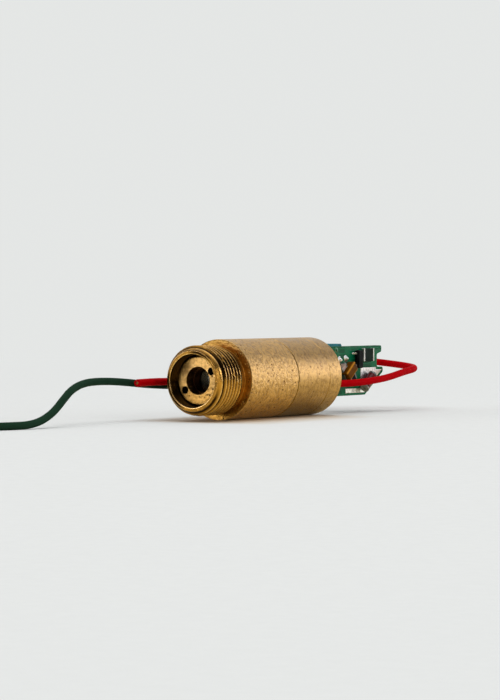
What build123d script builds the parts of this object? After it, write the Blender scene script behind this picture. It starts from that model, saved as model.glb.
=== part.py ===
from build123d import *
from math import cos, pi, radians, sin, sqrt, tan
import os

# Sizes are in millimetres. The optical axis is Y, the nose points to -Y, and Y = 0 is the shoulder
# behind the nose thread. The module lies on its side on a table 6 mm under its axis, as bought.

# Brass barrel, in three turned sections
body_radius = 6.0
nose_length = 6.92
nose_face_radius = 4.39
nose_chamfer = 1.12
thread_radius = 5.19
thread_pitch = 0.75
thread_angle = 60
thread_lead_in = 0.45
relief_length = 1.3
relief_radius = 4.75
nose_bore_radius = 3.83
nose_bore_floor = 2.2
bore_chamfer = 0.16
tunnel_radius = 2.9
front_length = 13.07
middle_length = 8.99
rear_length = 3.42
edge_break = 0.07
seat_gap = 0.02

# Joints between the sections
front_spigot_length = 4.45
front_spigot_radius = 4.78
rear_spigot_radius = 4.58
spigot_chamfer = 0.25
socket_relief = 0.3

# Output lens and the ring that locks it
ring_radius = 3.75
ring_recess = 1.59
ring_length = 1.83
ring_chamfer = 0.3
ring_aperture_radius = 2.05
spanner_hole_radius = 0.53
spanner_hole_circle = 2.68
spanner_hole_depth = 1.2
spanner_hole_angle = 31.5
cell_lip_radius = 1.9
cell_lip_length = 1.25
lens_radius = 2.5
lens_curve_radius = 8.0
lens_thickness = 1.88
retainer_length = 0.6
retainer_bore_radius = 2.0

# Beam expander, filter and crystals
chamber_radius = 3.3
chamber_depth = 7.28
chamber_web = 2.7
expander_cell_length = 2.4
expander_lip_length = 0.6
expander_lip_radius = 1.2
expander_lens_radius = 1.5
expander_lens_length = 1.0
expander_curve_radius = 3.4
filter_length = 0.5
crystal_width = 2.0
doubling_crystal_length = 2.5
pump_crystal_length = 0.8
beam_hole_radius = 0.9

# Pump diode in its can
flange_radius = 2.8
flange_length = 1.2
can_radius = 1.78
can_length = 2.3
can_wall = 0.2
can_hole_radius = 0.8
can_bore_radius = 1.9
window_radius = 1.2
window_length = 0.25
submount_size = (1.0, 1.6, 0.9)
diode_chip_size = (0.12, 0.6, 0.3)
pin_radius = 0.225
pin_length = 6.5

# Rear collar
collar_bore_radius = 5.0
collar_floor_length = 0.84
pin_passage_radius = 1.9

# Driver board, upright in the plane of the axis. Places along it count from the collar's rear rim.
board_thickness = 1.0
board_front_gap = 0.4
board_overhang = 21.47
board_top = 4.45
board_bottom = -3.4
board_corner = 0.35
notch_depth = 1.45
notch_top = 3.45
notch_bottom = 1.0
tab_length = 0.45
tab_bottom = 0.2
slope_start = 16.22
pad_thickness = 0.08
pad_margin = 0.4
pad_top = 0.95
pad_front = 14.82
pad_strip_top = -2.3
pad_strip_front = 10.12

# Trimmer on the far face, with its legs through the board
trimmer_width = 4.0
trimmer_height = 2.2
trimmer_place = (8.72, 2.85)
rotor_radius = 1.3
rotor_length = 0.75
rotor_proud = 0.15
rotor_slot_width = 0.36
rotor_slot_depth = 0.35
running_gap = 0.04
trimmer_leg_radius = 0.2
trimmer_leg_proud = 0.2
trimmer_leg_places = ((8.42, 2.3), (10.32, 2.5), (7.42, 3.9))
leg_hole_gap = 0.05

# Chips, each by its place behind the rim and over the axis, and its length, width and height
chip_turn = 38.5
terminal_length = 0.35
tantalum_place = (10.17, 0.5)
tantalum_size = (3.2, 1.6, 1.4)
chip_capacitor_place = (8.67, 1.1)
chip_capacitor_size = (1.6, 0.8, 0.8)
small_diode_place = (11.37, -0.65)
small_diode_size = (1.7, 1.1, 0.9)
resistor_place = (16.62, 3.0)
resistor_size = (3.2, 2.1, 0.6)
protection_diode_place = (16.02, -1.25)
protection_diode_length = 3.5
protection_diode_radius = 0.75
transistor_place = (13.52, 2.35)
transistor_size = (2.9, 1.3, 0.95)
transistor_leg_pitch = 1.9
driver_chip_place = (14.02, 0.8)
driver_chip_size = (3.0, 3.0, 1.0)
driver_chip_pitch = 0.65
leg_width = 0.32
leg_thickness = 0.15
leg_reach = 0.8

# Solder, each heap by its foot radius and height
solder_top_share = 0.5
solder_sides = 8
trimmer_joint = (0.42, 0.4)
pin_joint = (0.7, 0.65)
lead_joint = (0.8, 0.75)
red_joint_place = (1.87, -1.2)
black_joint_place = (17.27, -2.0)

# Leads, each by hand-set points from its solder joint to its free end
lead_radius = 0.55
core_radius = 0.24
core_lift = 0.12
floor_level = -body_radius
red_route = (
    (1.3, 28.8, -1.3), (2.2, 31.8, -1.35), (3.1, 36.5, -1.25), (3.45, 43.5, -0.75),
    (3.5, 49.2, 0.15), (3.2, 53.7, 0.6), (-0.1, 57.0, 0.85), (-4.7, 57.0, 1.35),
    (-8.0, 53.7, 1.85), (-8.2, 47.5, 2.1), (-7.9, 36.0, 2.0), (-7.6, 22.5, 1.25),
    (-7.45, 9.0, 0.35), (-7.5, -1.0, -0.34), (-7.75, -5.8, -0.25), (-7.5, -10.1, -0.33),
)
black_route = (
    (-1.4, 41.2, -2.4), (-2.8, 38.5, -2.45), (-5.3, 34.3, -2.2), (-7.8, 27.5, -1.75),
    (-8.9, 14.0, -1.4), (-8.8, 3.0, -1.1), (-8.9, -5.0, -0.77), (-9.7, -10.8, -0.18),
    (-10.0, -16.0, 0.05), (-9.4, -20.9, -0.12), (-8.5, -24.9, -0.97), (-7.6, -27.9, -2.21),
    (-6.9, -31.6, -4.2), (-6.5, -36.2, floor_level + lead_radius),
    (-7.3, -41.5, floor_level + lead_radius), (-9.6, -46.2, floor_level + lead_radius),
    (-13.2, -49.8, floor_level + lead_radius),
)
tinned_tip_length = 3.5

# Places that follow from the sizes above
thread_crest = thread_pitch / 8
thread_root = thread_pitch / 4
thread_flank = (thread_pitch - thread_crest - thread_root) / 2
thread_depth = thread_flank / tan(radians(thread_angle / 2))
front_socket_floor = front_length - front_spigot_length - socket_relief
middle_front = front_length - front_spigot_length
middle_rear = front_length + middle_length
barrel_rear = middle_rear + rear_length
chamber_floor = middle_front + chamber_depth
flange_front = chamber_floor + chamber_web
flange_rear = flange_front + flange_length
can_front = flange_front - can_length
ring_face = ring_recess - nose_length
ring_rear = ring_face + ring_length
cell_seat = ring_rear + cell_lip_length
cell_pocket_radius = lens_radius + 2 * seat_gap
collar_floor = middle_rear + collar_floor_length
board_front = collar_floor + board_front_gap
board_rear = barrel_rear + board_overhang
tab_rear = board_rear + tab_length
board_face = board_thickness / 2
pin_offset = board_face + pin_radius + seat_gap
pin_places = ((pin_offset, pin_offset), (-pin_offset, -pin_offset), (pin_offset, -pin_offset))
expander_front = middle_front + socket_relief
block_front = expander_front + expander_cell_length
pump_front = chamber_floor - pump_crystal_length
doubling_front = pump_front - doubling_crystal_length
optic_radius = chamber_radius - seat_gap


def turned(*corners):
    """A solid of revolution about the optical axis, from (Y, radius) corners in order."""
    section = make_face(Polyline(*corners, close=True))
    return revolve(Plane.YZ * section, Axis.Y)


def rod(radius, start, end):
    """A plain round rod along the optical axis."""
    return turned((start, 0), (start, radius), (end, radius), (end, 0))


def tube(outer, inner, start, end):
    """A plain ring along the optical axis."""
    return turned((start, inner), (start, outer), (end, outer), (end, inner))


def thread_grooves():
    """Rings cut between the crests of the nose thread, one in front of each and one behind the last."""
    foot = thread_radius - thread_depth
    over = thread_depth
    spread = thread_root / 2 + 2 * thread_flank
    run = nose_length - nose_chamfer - relief_length - thread_lead_in
    first = -(relief_length + thread_lead_in) + thread_pitch / 2
    groove = turned(
        (-thread_root / 2, foot),
        (thread_root / 2, foot),
        (spread, thread_radius + over),
        (-spread, thread_radius + over),
    )
    return [Pos(0, first - step * thread_pitch, 0) * groove for step in range(int(run / thread_pitch) + 2)]


def front_barrel():
    """Front section: threaded nose with its chamfer, relief groove, shoulder and stepped bore."""
    return plain_front() - thread_grooves()


def plain_front():
    """The front section before its thread is cut."""
    return turned(
        (-nose_length, nose_bore_radius + bore_chamfer),
        (-nose_length, nose_face_radius),
        (-nose_length + nose_chamfer, thread_radius),
        (-relief_length, thread_radius),
        (-relief_length, relief_radius),
        (0, relief_radius),
        (0, body_radius - edge_break),
        (edge_break, body_radius),
        (front_length - edge_break, body_radius),
        (front_length, body_radius - edge_break),
        (front_length, front_spigot_radius + seat_gap),
        (front_socket_floor, front_spigot_radius + seat_gap),
        (front_socket_floor, tunnel_radius),
        (nose_bore_floor, tunnel_radius),
        (nose_bore_floor, nose_bore_radius),
        (-nose_length + bore_chamfer, nose_bore_radius),
    )


def middle_barrel():
    """Middle section: spigot into the front, chamber for the optics, and the diode's seat."""
    return turned(
        (middle_front, chamber_radius),
        (middle_front, front_spigot_radius - spigot_chamfer),
        (middle_front + spigot_chamfer, front_spigot_radius),
        (front_length, front_spigot_radius),
        (front_length, body_radius - edge_break),
        (front_length + edge_break, body_radius),
        (middle_rear - edge_break, body_radius),
        (middle_rear, body_radius - edge_break),
        (middle_rear, rear_spigot_radius + seat_gap),
        (flange_rear, rear_spigot_radius + seat_gap),
        (flange_rear, flange_radius + seat_gap),
        (flange_front, flange_radius + seat_gap),
        (flange_front, can_bore_radius),
        (chamber_floor, can_bore_radius),
        (chamber_floor, chamber_radius),
    )


def rear_collar():
    """Rear section: its spigot clamps the diode's flange, its open end shelters the board."""
    return turned(
        (flange_rear, pin_passage_radius),
        (flange_rear, rear_spigot_radius - spigot_chamfer),
        (flange_rear + spigot_chamfer, rear_spigot_radius),
        (middle_rear, rear_spigot_radius),
        (middle_rear, body_radius - edge_break),
        (middle_rear + edge_break, body_radius),
        (barrel_rear - edge_break, body_radius),
        (barrel_rear, body_radius - edge_break),
        (barrel_rear, collar_bore_radius),
        (collar_floor, collar_bore_radius),
        (collar_floor, pin_passage_radius),
    )


def lens_ring():
    """Locking ring with its aperture and two blind spanner holes."""
    ring = turned(
        (ring_face, ring_aperture_radius),
        (ring_face, ring_radius - ring_chamfer),
        (ring_face + ring_chamfer, ring_radius),
        (ring_rear, ring_radius),
        (ring_rear, ring_aperture_radius),
    )
    for angle in (spanner_hole_angle, spanner_hole_angle + 180):
        place = Vector(cos(radians(angle)), 0, sin(radians(angle))) * spanner_hole_circle
        drill = Plane(origin=(place.X, ring_face, place.Z), z_dir=(0, 1, 0))
        ring -= drill * Cylinder(
            spanner_hole_radius, spanner_hole_depth, align=(Align.CENTER, Align.CENTER, Align.MIN)
        )
    return ring


def lens_cell():
    """Cell with a front lip that the lens seats against."""
    return turned(
        (ring_rear, cell_lip_radius),
        (ring_rear, ring_radius),
        (nose_bore_floor, ring_radius),
        (nose_bore_floor, cell_pocket_radius),
        (cell_seat, cell_pocket_radius),
        (cell_seat, cell_lip_radius),
    )


def dome_depth(curve, radius):
    """How far a sphere of radius curve falls back at a given distance from its top."""
    return curve - sqrt(curve**2 - radius**2)


def lens_vertex():
    """Y of the output lens's front, where its dome meets the edge of the cell's lip."""
    return cell_seat - dome_depth(lens_curve_radius, cell_lip_radius)


def output_lens():
    """Plano-convex lens, domed side forward."""
    centre = Plane(origin=(0, lens_vertex() + lens_curve_radius, 0))
    return rod(lens_radius, lens_vertex(), lens_vertex() + lens_thickness) & (
        centre * Sphere(lens_curve_radius)
    )


def lens_retainer():
    """Thin ring that holds the lens against the lip."""
    start = lens_vertex() + lens_thickness
    return tube(lens_radius + seat_gap, retainer_bore_radius, start, start + retainer_length)


def expander_cell():
    """Cell of the small expander lens, open to the rear."""
    seat = expander_front + expander_lip_length
    return turned(
        (expander_front, expander_lip_radius),
        (expander_front, optic_radius),
        (block_front, optic_radius),
        (block_front, expander_lens_radius + seat_gap),
        (seat, expander_lens_radius + seat_gap),
        (seat, expander_lip_radius),
    )


def expander_lens():
    """Plano-concave lens, hollow side to the rear."""
    seat = expander_front + expander_lip_length
    back = seat + expander_lens_length
    rim = dome_depth(expander_curve_radius, expander_lens_radius)
    hollow = Plane(origin=(0, back + expander_curve_radius - rim, 0))
    return rod(expander_lens_radius, seat, back) - hollow * Sphere(expander_curve_radius)


def ir_filter():
    """Filter disc against the front of the crystal block."""
    return rod(expander_lens_radius, block_front - filter_length, block_front)


def square_bar(width, start, end):
    """A square bar along the optical axis."""
    middle = (start + end) / 2
    return Pos(0, middle, 0) * Box(width, end - start, width)


def crystal_block():
    """Block with a beam hole in front and a square pocket for the two crystals."""
    block = rod(optic_radius, block_front, chamber_floor)
    block -= rod(beam_hole_radius, block_front, doubling_front)
    return block - square_bar(crystal_width + 2 * seat_gap, doubling_front, chamber_floor)


def diode_header():
    """Flange that the diode is built on, clamped between the middle section and the collar."""
    return rod(flange_radius, flange_front, flange_rear)


def diode_cap():
    """Can over the diode with its window hole."""
    inside = can_radius - can_wall
    return turned(
        (can_front, can_hole_radius),
        (can_front, can_radius),
        (flange_front, can_radius),
        (flange_front, inside),
        (can_front + can_wall, inside),
        (can_front + can_wall, can_hole_radius),
    )


def diode_window():
    """Glass behind the can's hole."""
    start = can_front + can_wall
    return rod(window_radius, start, start + window_length)


def diode_submount():
    """Block on the header that carries the emitting chip."""
    width, length, height = submount_size
    top = -diode_chip_size[0] / 2
    return Pos(0, flange_front - length / 2, top - height / 2) * Box(width, length, height)


def diode_chip():
    """Emitting chip, on the axis."""
    height, length, width = diode_chip_size
    front = flange_front - submount_size[1]
    return Pos(0, front + length / 2, 0) * Box(width, length, height)


def pin(place):
    """One leg of the diode, from the header back along a face of the board."""
    start = Plane(origin=(place[0], flange_rear, place[1]), z_dir=(0, 1, 0))
    return start * Cylinder(pin_radius, pin_length, align=(Align.CENTER, Align.CENTER, Align.MIN))


def diode_pins():
    """Three legs that straddle the board."""
    return [pin(place) for place in pin_places]


def board_outline(margin=0.0):
    """Board outline as (Y, Z) corners, moved in by a margin."""
    return (
        (board_front + margin, board_top - margin),
        (board_rear - margin, board_top - margin),
        (board_rear - margin, notch_top + margin),
        (board_rear - notch_depth - margin, notch_top - board_corner + margin),
        (board_rear - notch_depth - margin, notch_bottom - margin),
        (tab_rear - margin, notch_bottom - margin),
        (tab_rear - margin, tab_bottom + margin),
        (barrel_rear + slope_start - margin / 2, board_bottom + margin),
        (board_front + margin, board_bottom + margin),
    )


def plate(outline, near, thickness):
    """A flat plate from (Y, Z) corners, from X = near outward."""
    section = Plane.YZ.offset(near) * make_face(Polyline(*outline, close=True))
    return extrude(section, thickness)


def trimmer_leg(place, gap=0.0):
    """One trimmer leg through the board, or its hole with a gap all round."""
    length = board_thickness + trimmer_leg_proud
    return on_board(1, place, 0, -board_thickness) * Cylinder(
        trimmer_leg_radius + gap, length, align=(Align.CENTER, Align.CENTER, Align.MIN)
    )


def driver_board():
    """Board with rounded corners, a notch at the rear, a sloped heel and the trimmer's holes."""
    board = plate(board_outline(), -board_face, board_thickness)
    corners = board.edges().filter_by(Axis.X)
    board = fillet(corners, board_corner)
    for place in trimmer_leg_places:
        board -= trimmer_leg(place, leg_hole_gap)
    return board


def tinned_pad():
    """Bare tinned ground area on the near face, along the heel and under the tab."""
    whole = plate(board_outline(pad_margin), board_face, pad_thickness)
    tab = (
        (barrel_rear + pad_front, pad_top),
        (tab_rear, pad_top),
        (tab_rear, board_bottom),
        (barrel_rear + pad_strip_front, board_bottom),
        (barrel_rear + pad_strip_front, pad_strip_top),
        (barrel_rear + pad_front, pad_strip_top),
    )
    pad = whole & plate(tab, board_face, pad_thickness)
    return pad


def on_board(side, place, turn=0.0, height=0.0):
    """A plane at a place on a face of the board: X along the part, Z away from the board."""
    return Plane(
        origin=(side * (board_face + height), barrel_rear + place[0], place[1]),
        x_dir=(0, cos(radians(turn)), sin(radians(turn))),
        z_dir=(side, 0, 0),
    )


def chip(size):
    """Body and two metal ends of a two-ended chip, lying along X on its seat."""
    length, width, height = size
    seat = (Align.CENTER, Align.CENTER, Align.MIN)
    body = Box(length - 2 * terminal_length, width, height, align=seat)
    shift = (length - terminal_length) / 2
    end = Box(terminal_length, width, height, align=seat)
    return body, [Pos(shift, 0, 0) * end, Pos(-shift, 0, 0) * end]


def placed_chip(place, size, turn=0.0):
    """The chip's body and ends in their place on the near face."""
    seat = on_board(1, place, turn)
    body, ends = chip(size)
    return seat * body, [seat * end for end in ends]


def protection_diode():
    """Round glass diode lying on the pad, with its two metal ends."""
    seat = on_board(1, protection_diode_place, chip_turn, pad_thickness + protection_diode_radius)
    body_length = protection_diode_length - 2 * terminal_length
    lying = Rotation(0, 90, 0)
    body = seat * lying * Cylinder(protection_diode_radius, body_length)
    shift = (protection_diode_length - terminal_length) / 2
    end = lying * Cylinder(protection_diode_radius, terminal_length)
    return body, [seat * Pos(side * shift, 0, 0) * end for side in (1, -1)]


def gull_leg(body_width, body_height):
    """A bent leg, in the plane across the chip, that starts at the body's side."""
    side = body_width / 2
    middle = body_height / 2
    half = leg_thickness / 2
    knee = side + leg_reach * 0.4
    outline = (
        (side, middle + half),
        (knee, middle + half),
        (knee + leg_thickness, leg_thickness),
        (side + leg_reach, leg_thickness),
        (side + leg_reach, 0),
        (knee + half, 0),
        (knee - half, middle - half),
        (side, middle - half),
    )
    section = Plane.YZ.offset(-leg_width / 2) * make_face(Polyline(*outline, close=True))
    return extrude(section, leg_width)


def chip_legs(seat, size, left, right):
    """Legs along both sides of a chip, at the given places along its length."""
    leg = gull_leg(size[1], size[2])
    turned_leg = Rotation(0, 0, 180) * leg
    legs = [seat * Pos(place, 0, 0) * leg for place in left]
    return legs + [seat * Pos(place, 0, 0) * turned_leg for place in right]


def moulded_body(seat, size):
    """Moulded chip body, a little narrower at its top."""
    length, width, height = size
    base = Rectangle(length - leg_thickness, width - leg_thickness)
    body = extrude(Plane.XY.offset(height / 2) * Rectangle(length, width), height / 2, taper=8)
    lower = height / 2 - leg_thickness
    body += extrude(Plane.XY.offset(leg_thickness) * base, lower)
    return seat * body


def transistor():
    """Three-legged transistor, upright on the near face: its body and legs."""
    seat = on_board(1, transistor_place, 90)
    half_pitch = transistor_leg_pitch / 2
    legs = chip_legs(seat, transistor_size, (-half_pitch, half_pitch), (0,))
    return moulded_body(seat, transistor_size), legs


def driver_chip():
    """Eight-legged driver chip on the far face: its body and legs."""
    seat = on_board(-1, driver_chip_place)
    places = [(count - 1.5) * driver_chip_pitch for count in range(4)]
    legs = chip_legs(seat, driver_chip_size, places, places)
    return moulded_body(seat, driver_chip_size), legs


def rotor_seat(height):
    """A plane on the trimmer's axis, at a height over the far face of the board."""
    return on_board(-1, trimmer_place, 0, height)


def trimmer_body():
    """Trimmer case with chamfered corners and the round pocket of its rotor."""
    seat = (Align.CENTER, Align.CENTER, Align.MIN)
    case = Box(trimmer_width, trimmer_width, trimmer_height, align=seat)
    case = chamfer(case.edges().filter_by(Axis.Z), edge_break * 4)
    floor = trimmer_height + rotor_proud - rotor_length - running_gap
    pocket = Cylinder(rotor_radius + running_gap, trimmer_height, align=seat)
    return rotor_seat(0) * (case - Pos(0, 0, floor) * pocket)


def trimmer_rotor():
    """Rotor with its cross slot, standing a little proud of the case."""
    seat = (Align.CENTER, Align.CENTER, Align.MIN)
    rotor = Cylinder(rotor_radius, rotor_length, align=seat)
    rotor = chamfer(rotor.edges().sort_by(Axis.Z)[-1], edge_break)
    for turn in (0, 90):
        slot = Box(rotor_radius * 1.5, rotor_slot_width, rotor_slot_depth, align=seat)
        rotor -= Pos(0, 0, rotor_length - rotor_slot_depth) * Rotation(0, 0, turn) * slot
    return rotor_seat(trimmer_height + rotor_proud - rotor_length) * rotor


def solder_cone(side, place, size):
    """A faceted heap of solder on a face of the board, by its foot radius and height."""
    radius, height = size
    foot = RegularPolygon(radius, solder_sides)
    top = Plane.XY.offset(height) * RegularPolygon(radius * solder_top_share, solder_sides)
    return on_board(side, place) * loft([foot, top], ruled=True)


def solder_joints(cores):
    """Solder on the trimmer's legs, the diode's legs and both leads' cores."""
    joints = [
        solder_cone(1, place, trimmer_joint) - trimmer_leg(place) for place in trimmer_leg_places
    ]
    for place in pin_places:
        side = 1 if place[0] > 0 else -1
        joint_place = (flange_rear + pin_length - pin_joint[0] / 2 - barrel_rear, place[1])
        joints.append(solder_cone(side, joint_place, pin_joint) - pin(place))
    joints.append(solder_cone(1, red_joint_place, lead_joint) - cores[0])
    joints.append(solder_cone(-1, black_joint_place, lead_joint) - cores[1])
    return joints


def bend_radii(route):
    """The widest arc at each corner of a route, from its two runs and its turn."""
    points = [Vector(*point) for point in route]
    radii = []
    for before, corner, after in zip(points, points[1:], points[2:]):
        into = corner - before
        out = after - corner
        turn = radians(into.get_angle(out))
        radii.append(0.45 * min(into.length, out.length) / tan(turn / 2))
    return radii


def lead(name, route):
    """One insulated lead as a plain round tube along its route."""
    radii = bend_radii(route)
    path = FilletPolyline(*route, radius=radii)
    body = sweep(Plane(origin=path @ 0, z_dir=path % 0) * Circle(lead_radius), path)
    share = body.volume / (pi * lead_radius**2 * path.length)
    print(name, "length", round(path.length, 1), "volume share", round(share, 4))
    print(name, "bend radii", [round(radius, 1) for radius in radii])
    return body


def core_start(route, side, place):
    """Bare core from the lead's first point into its solder joint."""
    end = on_board(side, place, 0, core_radius + core_lift).origin
    start = Vector(*route[0])
    reach = end - start
    return Plane(origin=start, z_dir=reach) * Cylinder(
        core_radius, reach.length, align=(Align.CENTER, Align.CENTER, Align.MIN)
    )


def tinned_tip(route):
    """Bare tinned end of a lead, in line with its last run."""
    last = Vector(*route[-1])
    run = last - Vector(*route[-2])
    return Plane(origin=last, z_dir=run) * Cylinder(
        core_radius, tinned_tip_length, align=(Align.CENTER, Align.CENTER, Align.MIN)
    )


def all_pieces():
    """Every node by name, each as one solid or a list of solids."""
    tantalum, tantalum_ends = placed_chip(tantalum_place, tantalum_size, chip_turn)
    capacitor, capacitor_ends = placed_chip(chip_capacitor_place, chip_capacitor_size, chip_turn)
    small_diode, small_ends = placed_chip(small_diode_place, small_diode_size, chip_turn)
    resistor, resistor_ends = placed_chip(resistor_place, resistor_size)
    glass_diode, glass_ends = protection_diode()
    transistor_body, transistor_legs = transistor()
    driver_body, driver_legs = driver_chip()
    red_lead = lead("red lead", red_route)
    black_lead = lead("black lead", black_route)
    red_core = core_start(red_route, 1, red_joint_place) - red_lead
    black_core = core_start(black_route, -1, black_joint_place) - black_lead
    return {
        "front_barrel": front_barrel(),
        "middle_barrel": middle_barrel(),
        "rear_collar": rear_collar(),
        "lens_ring": lens_ring(),
        "lens_cell": lens_cell(),
        "output_lens": output_lens(),
        "lens_retainer": lens_retainer(),
        "expander_cell": expander_cell(),
        "expander_lens": expander_lens(),
        "ir_filter": ir_filter(),
        "crystal_block": crystal_block(),
        "doubling_crystal": square_bar(crystal_width, doubling_front, pump_front),
        "pump_crystal": square_bar(crystal_width, pump_front, chamber_floor),
        "diode_header": diode_header(),
        "diode_cap": diode_cap(),
        "diode_window": diode_window(),
        "diode_submount": diode_submount(),
        "diode_chip": diode_chip(),
        "diode_pins": diode_pins(),
        "driver_board": driver_board(),
        "tinned_pad": tinned_pad(),
        "trimmer_body": trimmer_body(),
        "trimmer_rotor": trimmer_rotor(),
        "trimmer_legs": [trimmer_leg(place) for place in trimmer_leg_places],
        "tantalum_capacitor": tantalum,
        "chip_capacitor": capacitor,
        "small_diode": small_diode,
        "protection_diode": glass_diode,
        "chip_resistor": resistor,
        "chip_terminals": tantalum_ends + capacitor_ends + small_ends + resistor_ends + glass_ends,
        "transistor": transistor_body,
        "transistor_legs": transistor_legs,
        "driver_chip": driver_body,
        "driver_chip_legs": driver_legs,
        "solder_joints": solder_joints((red_core, black_core)),
        "red_lead": red_lead,
        "red_lead_core": red_core,
        "black_lead": black_lead,
        "black_lead_core": [black_core, tinned_tip(black_route)],
    }


os.makedirs("parts", exist_ok=True)
for name, piece in all_pieces().items():
    shape = Compound(children=piece) if isinstance(piece, list) else piece
    export_step(shape, f"parts/{name}.step")
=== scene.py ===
from types import SimpleNamespace

import bmesh
import bpy
import numpy as np
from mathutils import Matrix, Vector


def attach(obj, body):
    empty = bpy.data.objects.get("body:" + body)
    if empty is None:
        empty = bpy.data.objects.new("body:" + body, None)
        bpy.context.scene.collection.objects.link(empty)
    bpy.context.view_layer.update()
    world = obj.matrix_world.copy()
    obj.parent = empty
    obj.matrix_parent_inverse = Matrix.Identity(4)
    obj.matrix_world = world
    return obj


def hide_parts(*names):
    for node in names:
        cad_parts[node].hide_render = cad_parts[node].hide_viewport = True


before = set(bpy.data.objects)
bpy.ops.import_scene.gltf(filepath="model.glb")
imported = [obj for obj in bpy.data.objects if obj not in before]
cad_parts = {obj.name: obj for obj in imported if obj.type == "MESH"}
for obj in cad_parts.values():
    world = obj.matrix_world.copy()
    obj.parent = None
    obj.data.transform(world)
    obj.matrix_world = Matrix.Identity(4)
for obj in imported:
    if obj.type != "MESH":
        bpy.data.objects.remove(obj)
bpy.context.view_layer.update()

bl_info = {
    "name": "Laser Diode Module",
    "version": (1, 0, 0),
    "blender": (4, 5, 0),
    "location": "3D View > Sidebar > Laser Module",
    "description": "Builds the looks of a brass laser diode module with its driver board and leads",
    "category": "Add Mesh",
}

# Units, and how finely turned surfaces and round edges are divided

MM = 0.001
TURN = 2 * np.pi
SEGMENTS = 192
CURVE_POINTS = 4
CORNER_ROWS = CURVE_POINTS + 2

# Turned sections: places along the axis behind the shoulder, and radii, in millimetres

BORE_FLOOR = 2.2
TUNNEL_RADIUS = 2.9
SOCKET_FLOOR = 8.32
SOCKET_RADIUS = 4.81
FRONT_END = 12.95
END_BREAK = 0.09
EDGE_BREAK = 0.07
SPIGOT_FRONT = 8.62
SPIGOT_RADIUS = 4.78
SPIGOT_CHAMFER = 0.25
CHAMBER_RADIUS = 3.3
CHAMBER_FLOOR = 15.9
MIDDLE_STEP = 13.13
MIDDLE_END = 22.0
CAN_BORE_RADIUS = 1.9
FLANGE_FRONT = 18.6
FLANGE_REAR = 19.8
FLANGE_SEAT_RADIUS = 2.82
REAR_SOCKET_RADIUS = 4.6
REAR_SPIGOT_RADIUS = 4.58
COLLAR_STEP = 22.07
COLLAR_BREAK = 0.05
COLLAR_BREAK_DEPTH = 0.06
COLLAR_FLOOR = 22.9
COLLAR_BORE_RADIUS = 5.0
RIM_BREAK = 0.08
REAR_RIM = 25.48

# Nose: places in front of the shoulder and radii in millimetres, a thread's corners in pitches

THREAD_CORNERS = (0.0, 0.25, 0.5625, 0.6875, 1.0)
NOSE_CREST = 5.5
BORE_CREST = 6.0
BORE_THREAD_REAR = 4.4
BORE_CHAMFER = 0.16
RING_FRONT = 5.2
RING_RIM_RADIUS = 3.6
SPANNER_HOLE = (2.285, 0.0, 1.4)
LENS_SEAT = 2.25
LENS_CURVE_RADIUS = 8.0
LENS_RADIUS = 2.5
LENS_LIP_RADIUS = 1.9
LENS_THICKNESS = 1.88
LENS_BEVEL = 0.02

# Board: half its thickness, then places along it from the rear rim and up from the axis, and sides

BOARD_FACE = 0.5
RED_JOINT = (1.87, -1.2)
BLACK_JOINT = (17.27, -2.0)
CORE_LIFT = 0.12
TRIMMER_LEGS = ((8.42, 2.3), (10.32, 2.5), (7.42, 3.9))
DIODE_PINS = ((1, (0.47, 0.745)), (-1, (0.47, -0.745)), (1, (0.47, -0.745)))
FLUX_HEIGHT = 3.3
CHIP_TURN = 38.5
TERMINAL = 0.35

# Leads: control points, and the length of the tinned tip, in millimetres

RED_ROUTE = (
    (1.3, 28.8, -1.3), (2.2, 31.8, -1.35), (3.1, 36.5, -1.25), (3.45, 43.5, -0.75),
    (3.5, 49.2, 0.15), (3.2, 53.7, 0.6), (-0.1, 57.0, 0.85), (-4.7, 57.0, 1.35),
    (-8.0, 53.7, 1.85), (-8.2, 47.5, 2.1), (-7.9, 36.0, 2.0), (-7.6, 22.5, 1.25),
    (-7.45, 9.0, 0.35), (-7.5, -1.0, -0.34), (-7.75, -5.8, -0.25), (-7.5, -10.1, -0.33),
)
BLACK_ROUTE = (
    (-1.4, 41.2, -2.4), (-2.8, 38.5, -2.45), (-5.3, 34.3, -2.2), (-7.8, 27.5, -1.75),
    (-8.9, 14.0, -1.4), (-8.8, 3.0, -1.1), (-8.9, -5.0, -0.77), (-9.7, -10.8, -0.18),
    (-10.0, -16.0, 0.05), (-9.4, -20.9, -0.12), (-8.5, -24.9, -0.97), (-7.6, -27.9, -2.21),
    (-6.9, -31.6, -4.2), (-6.5, -36.2, -5.45), (-7.3, -41.5, -5.45), (-9.6, -46.2, -5.45),
    (-13.2, -49.8, -5.45),
)
TINNED_TIP = 3.5

# Stage: places, directions and sizes in metres, and each lamp's share of a power that can be set

CAMERA_PLACE = (0.224410, -0.337025, 0.012024)
CAMERA_VIEW = (-0.54444, 0.83859, -0.01879)
TOWARDS_CAMERA = (0.545, -0.838, 0.0)
FLOOR_HALF = 20.0
LAMP_AIM = (0.0, 0.012, 0.0)
LAMPS = (
    ("key", "key", 1.0, (0.76, 1.27, 0.27), (1.75, 0.52)),
    ("rim", "key", 0.19, (-0.62, 1.30, 0.50), (1.1, 0.62)),
    ("fill", "fill", 1.0, (-0.95, -1.28, 0.34), (1.2, 0.62)),
    ("window", "key", 0.75, (1.27, -0.36, 0.49), (0.48, 0.62)),
)


# Sizes and colours that a user would change

def length(name, text, size):
    """A length property, from a size in millimetres."""
    return bpy.props.FloatProperty(
        name=name, description=text, default=size * MM, min=0.0, unit="LENGTH", precision=5
    )



def colour(name, text, value):
    """A colour property, from linear red, green and blue."""
    return bpy.props.FloatVectorProperty(
        name=name, description=text, default=value, size=3, min=0.0, max=1.0, subtype="COLOR"
    )


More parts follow.
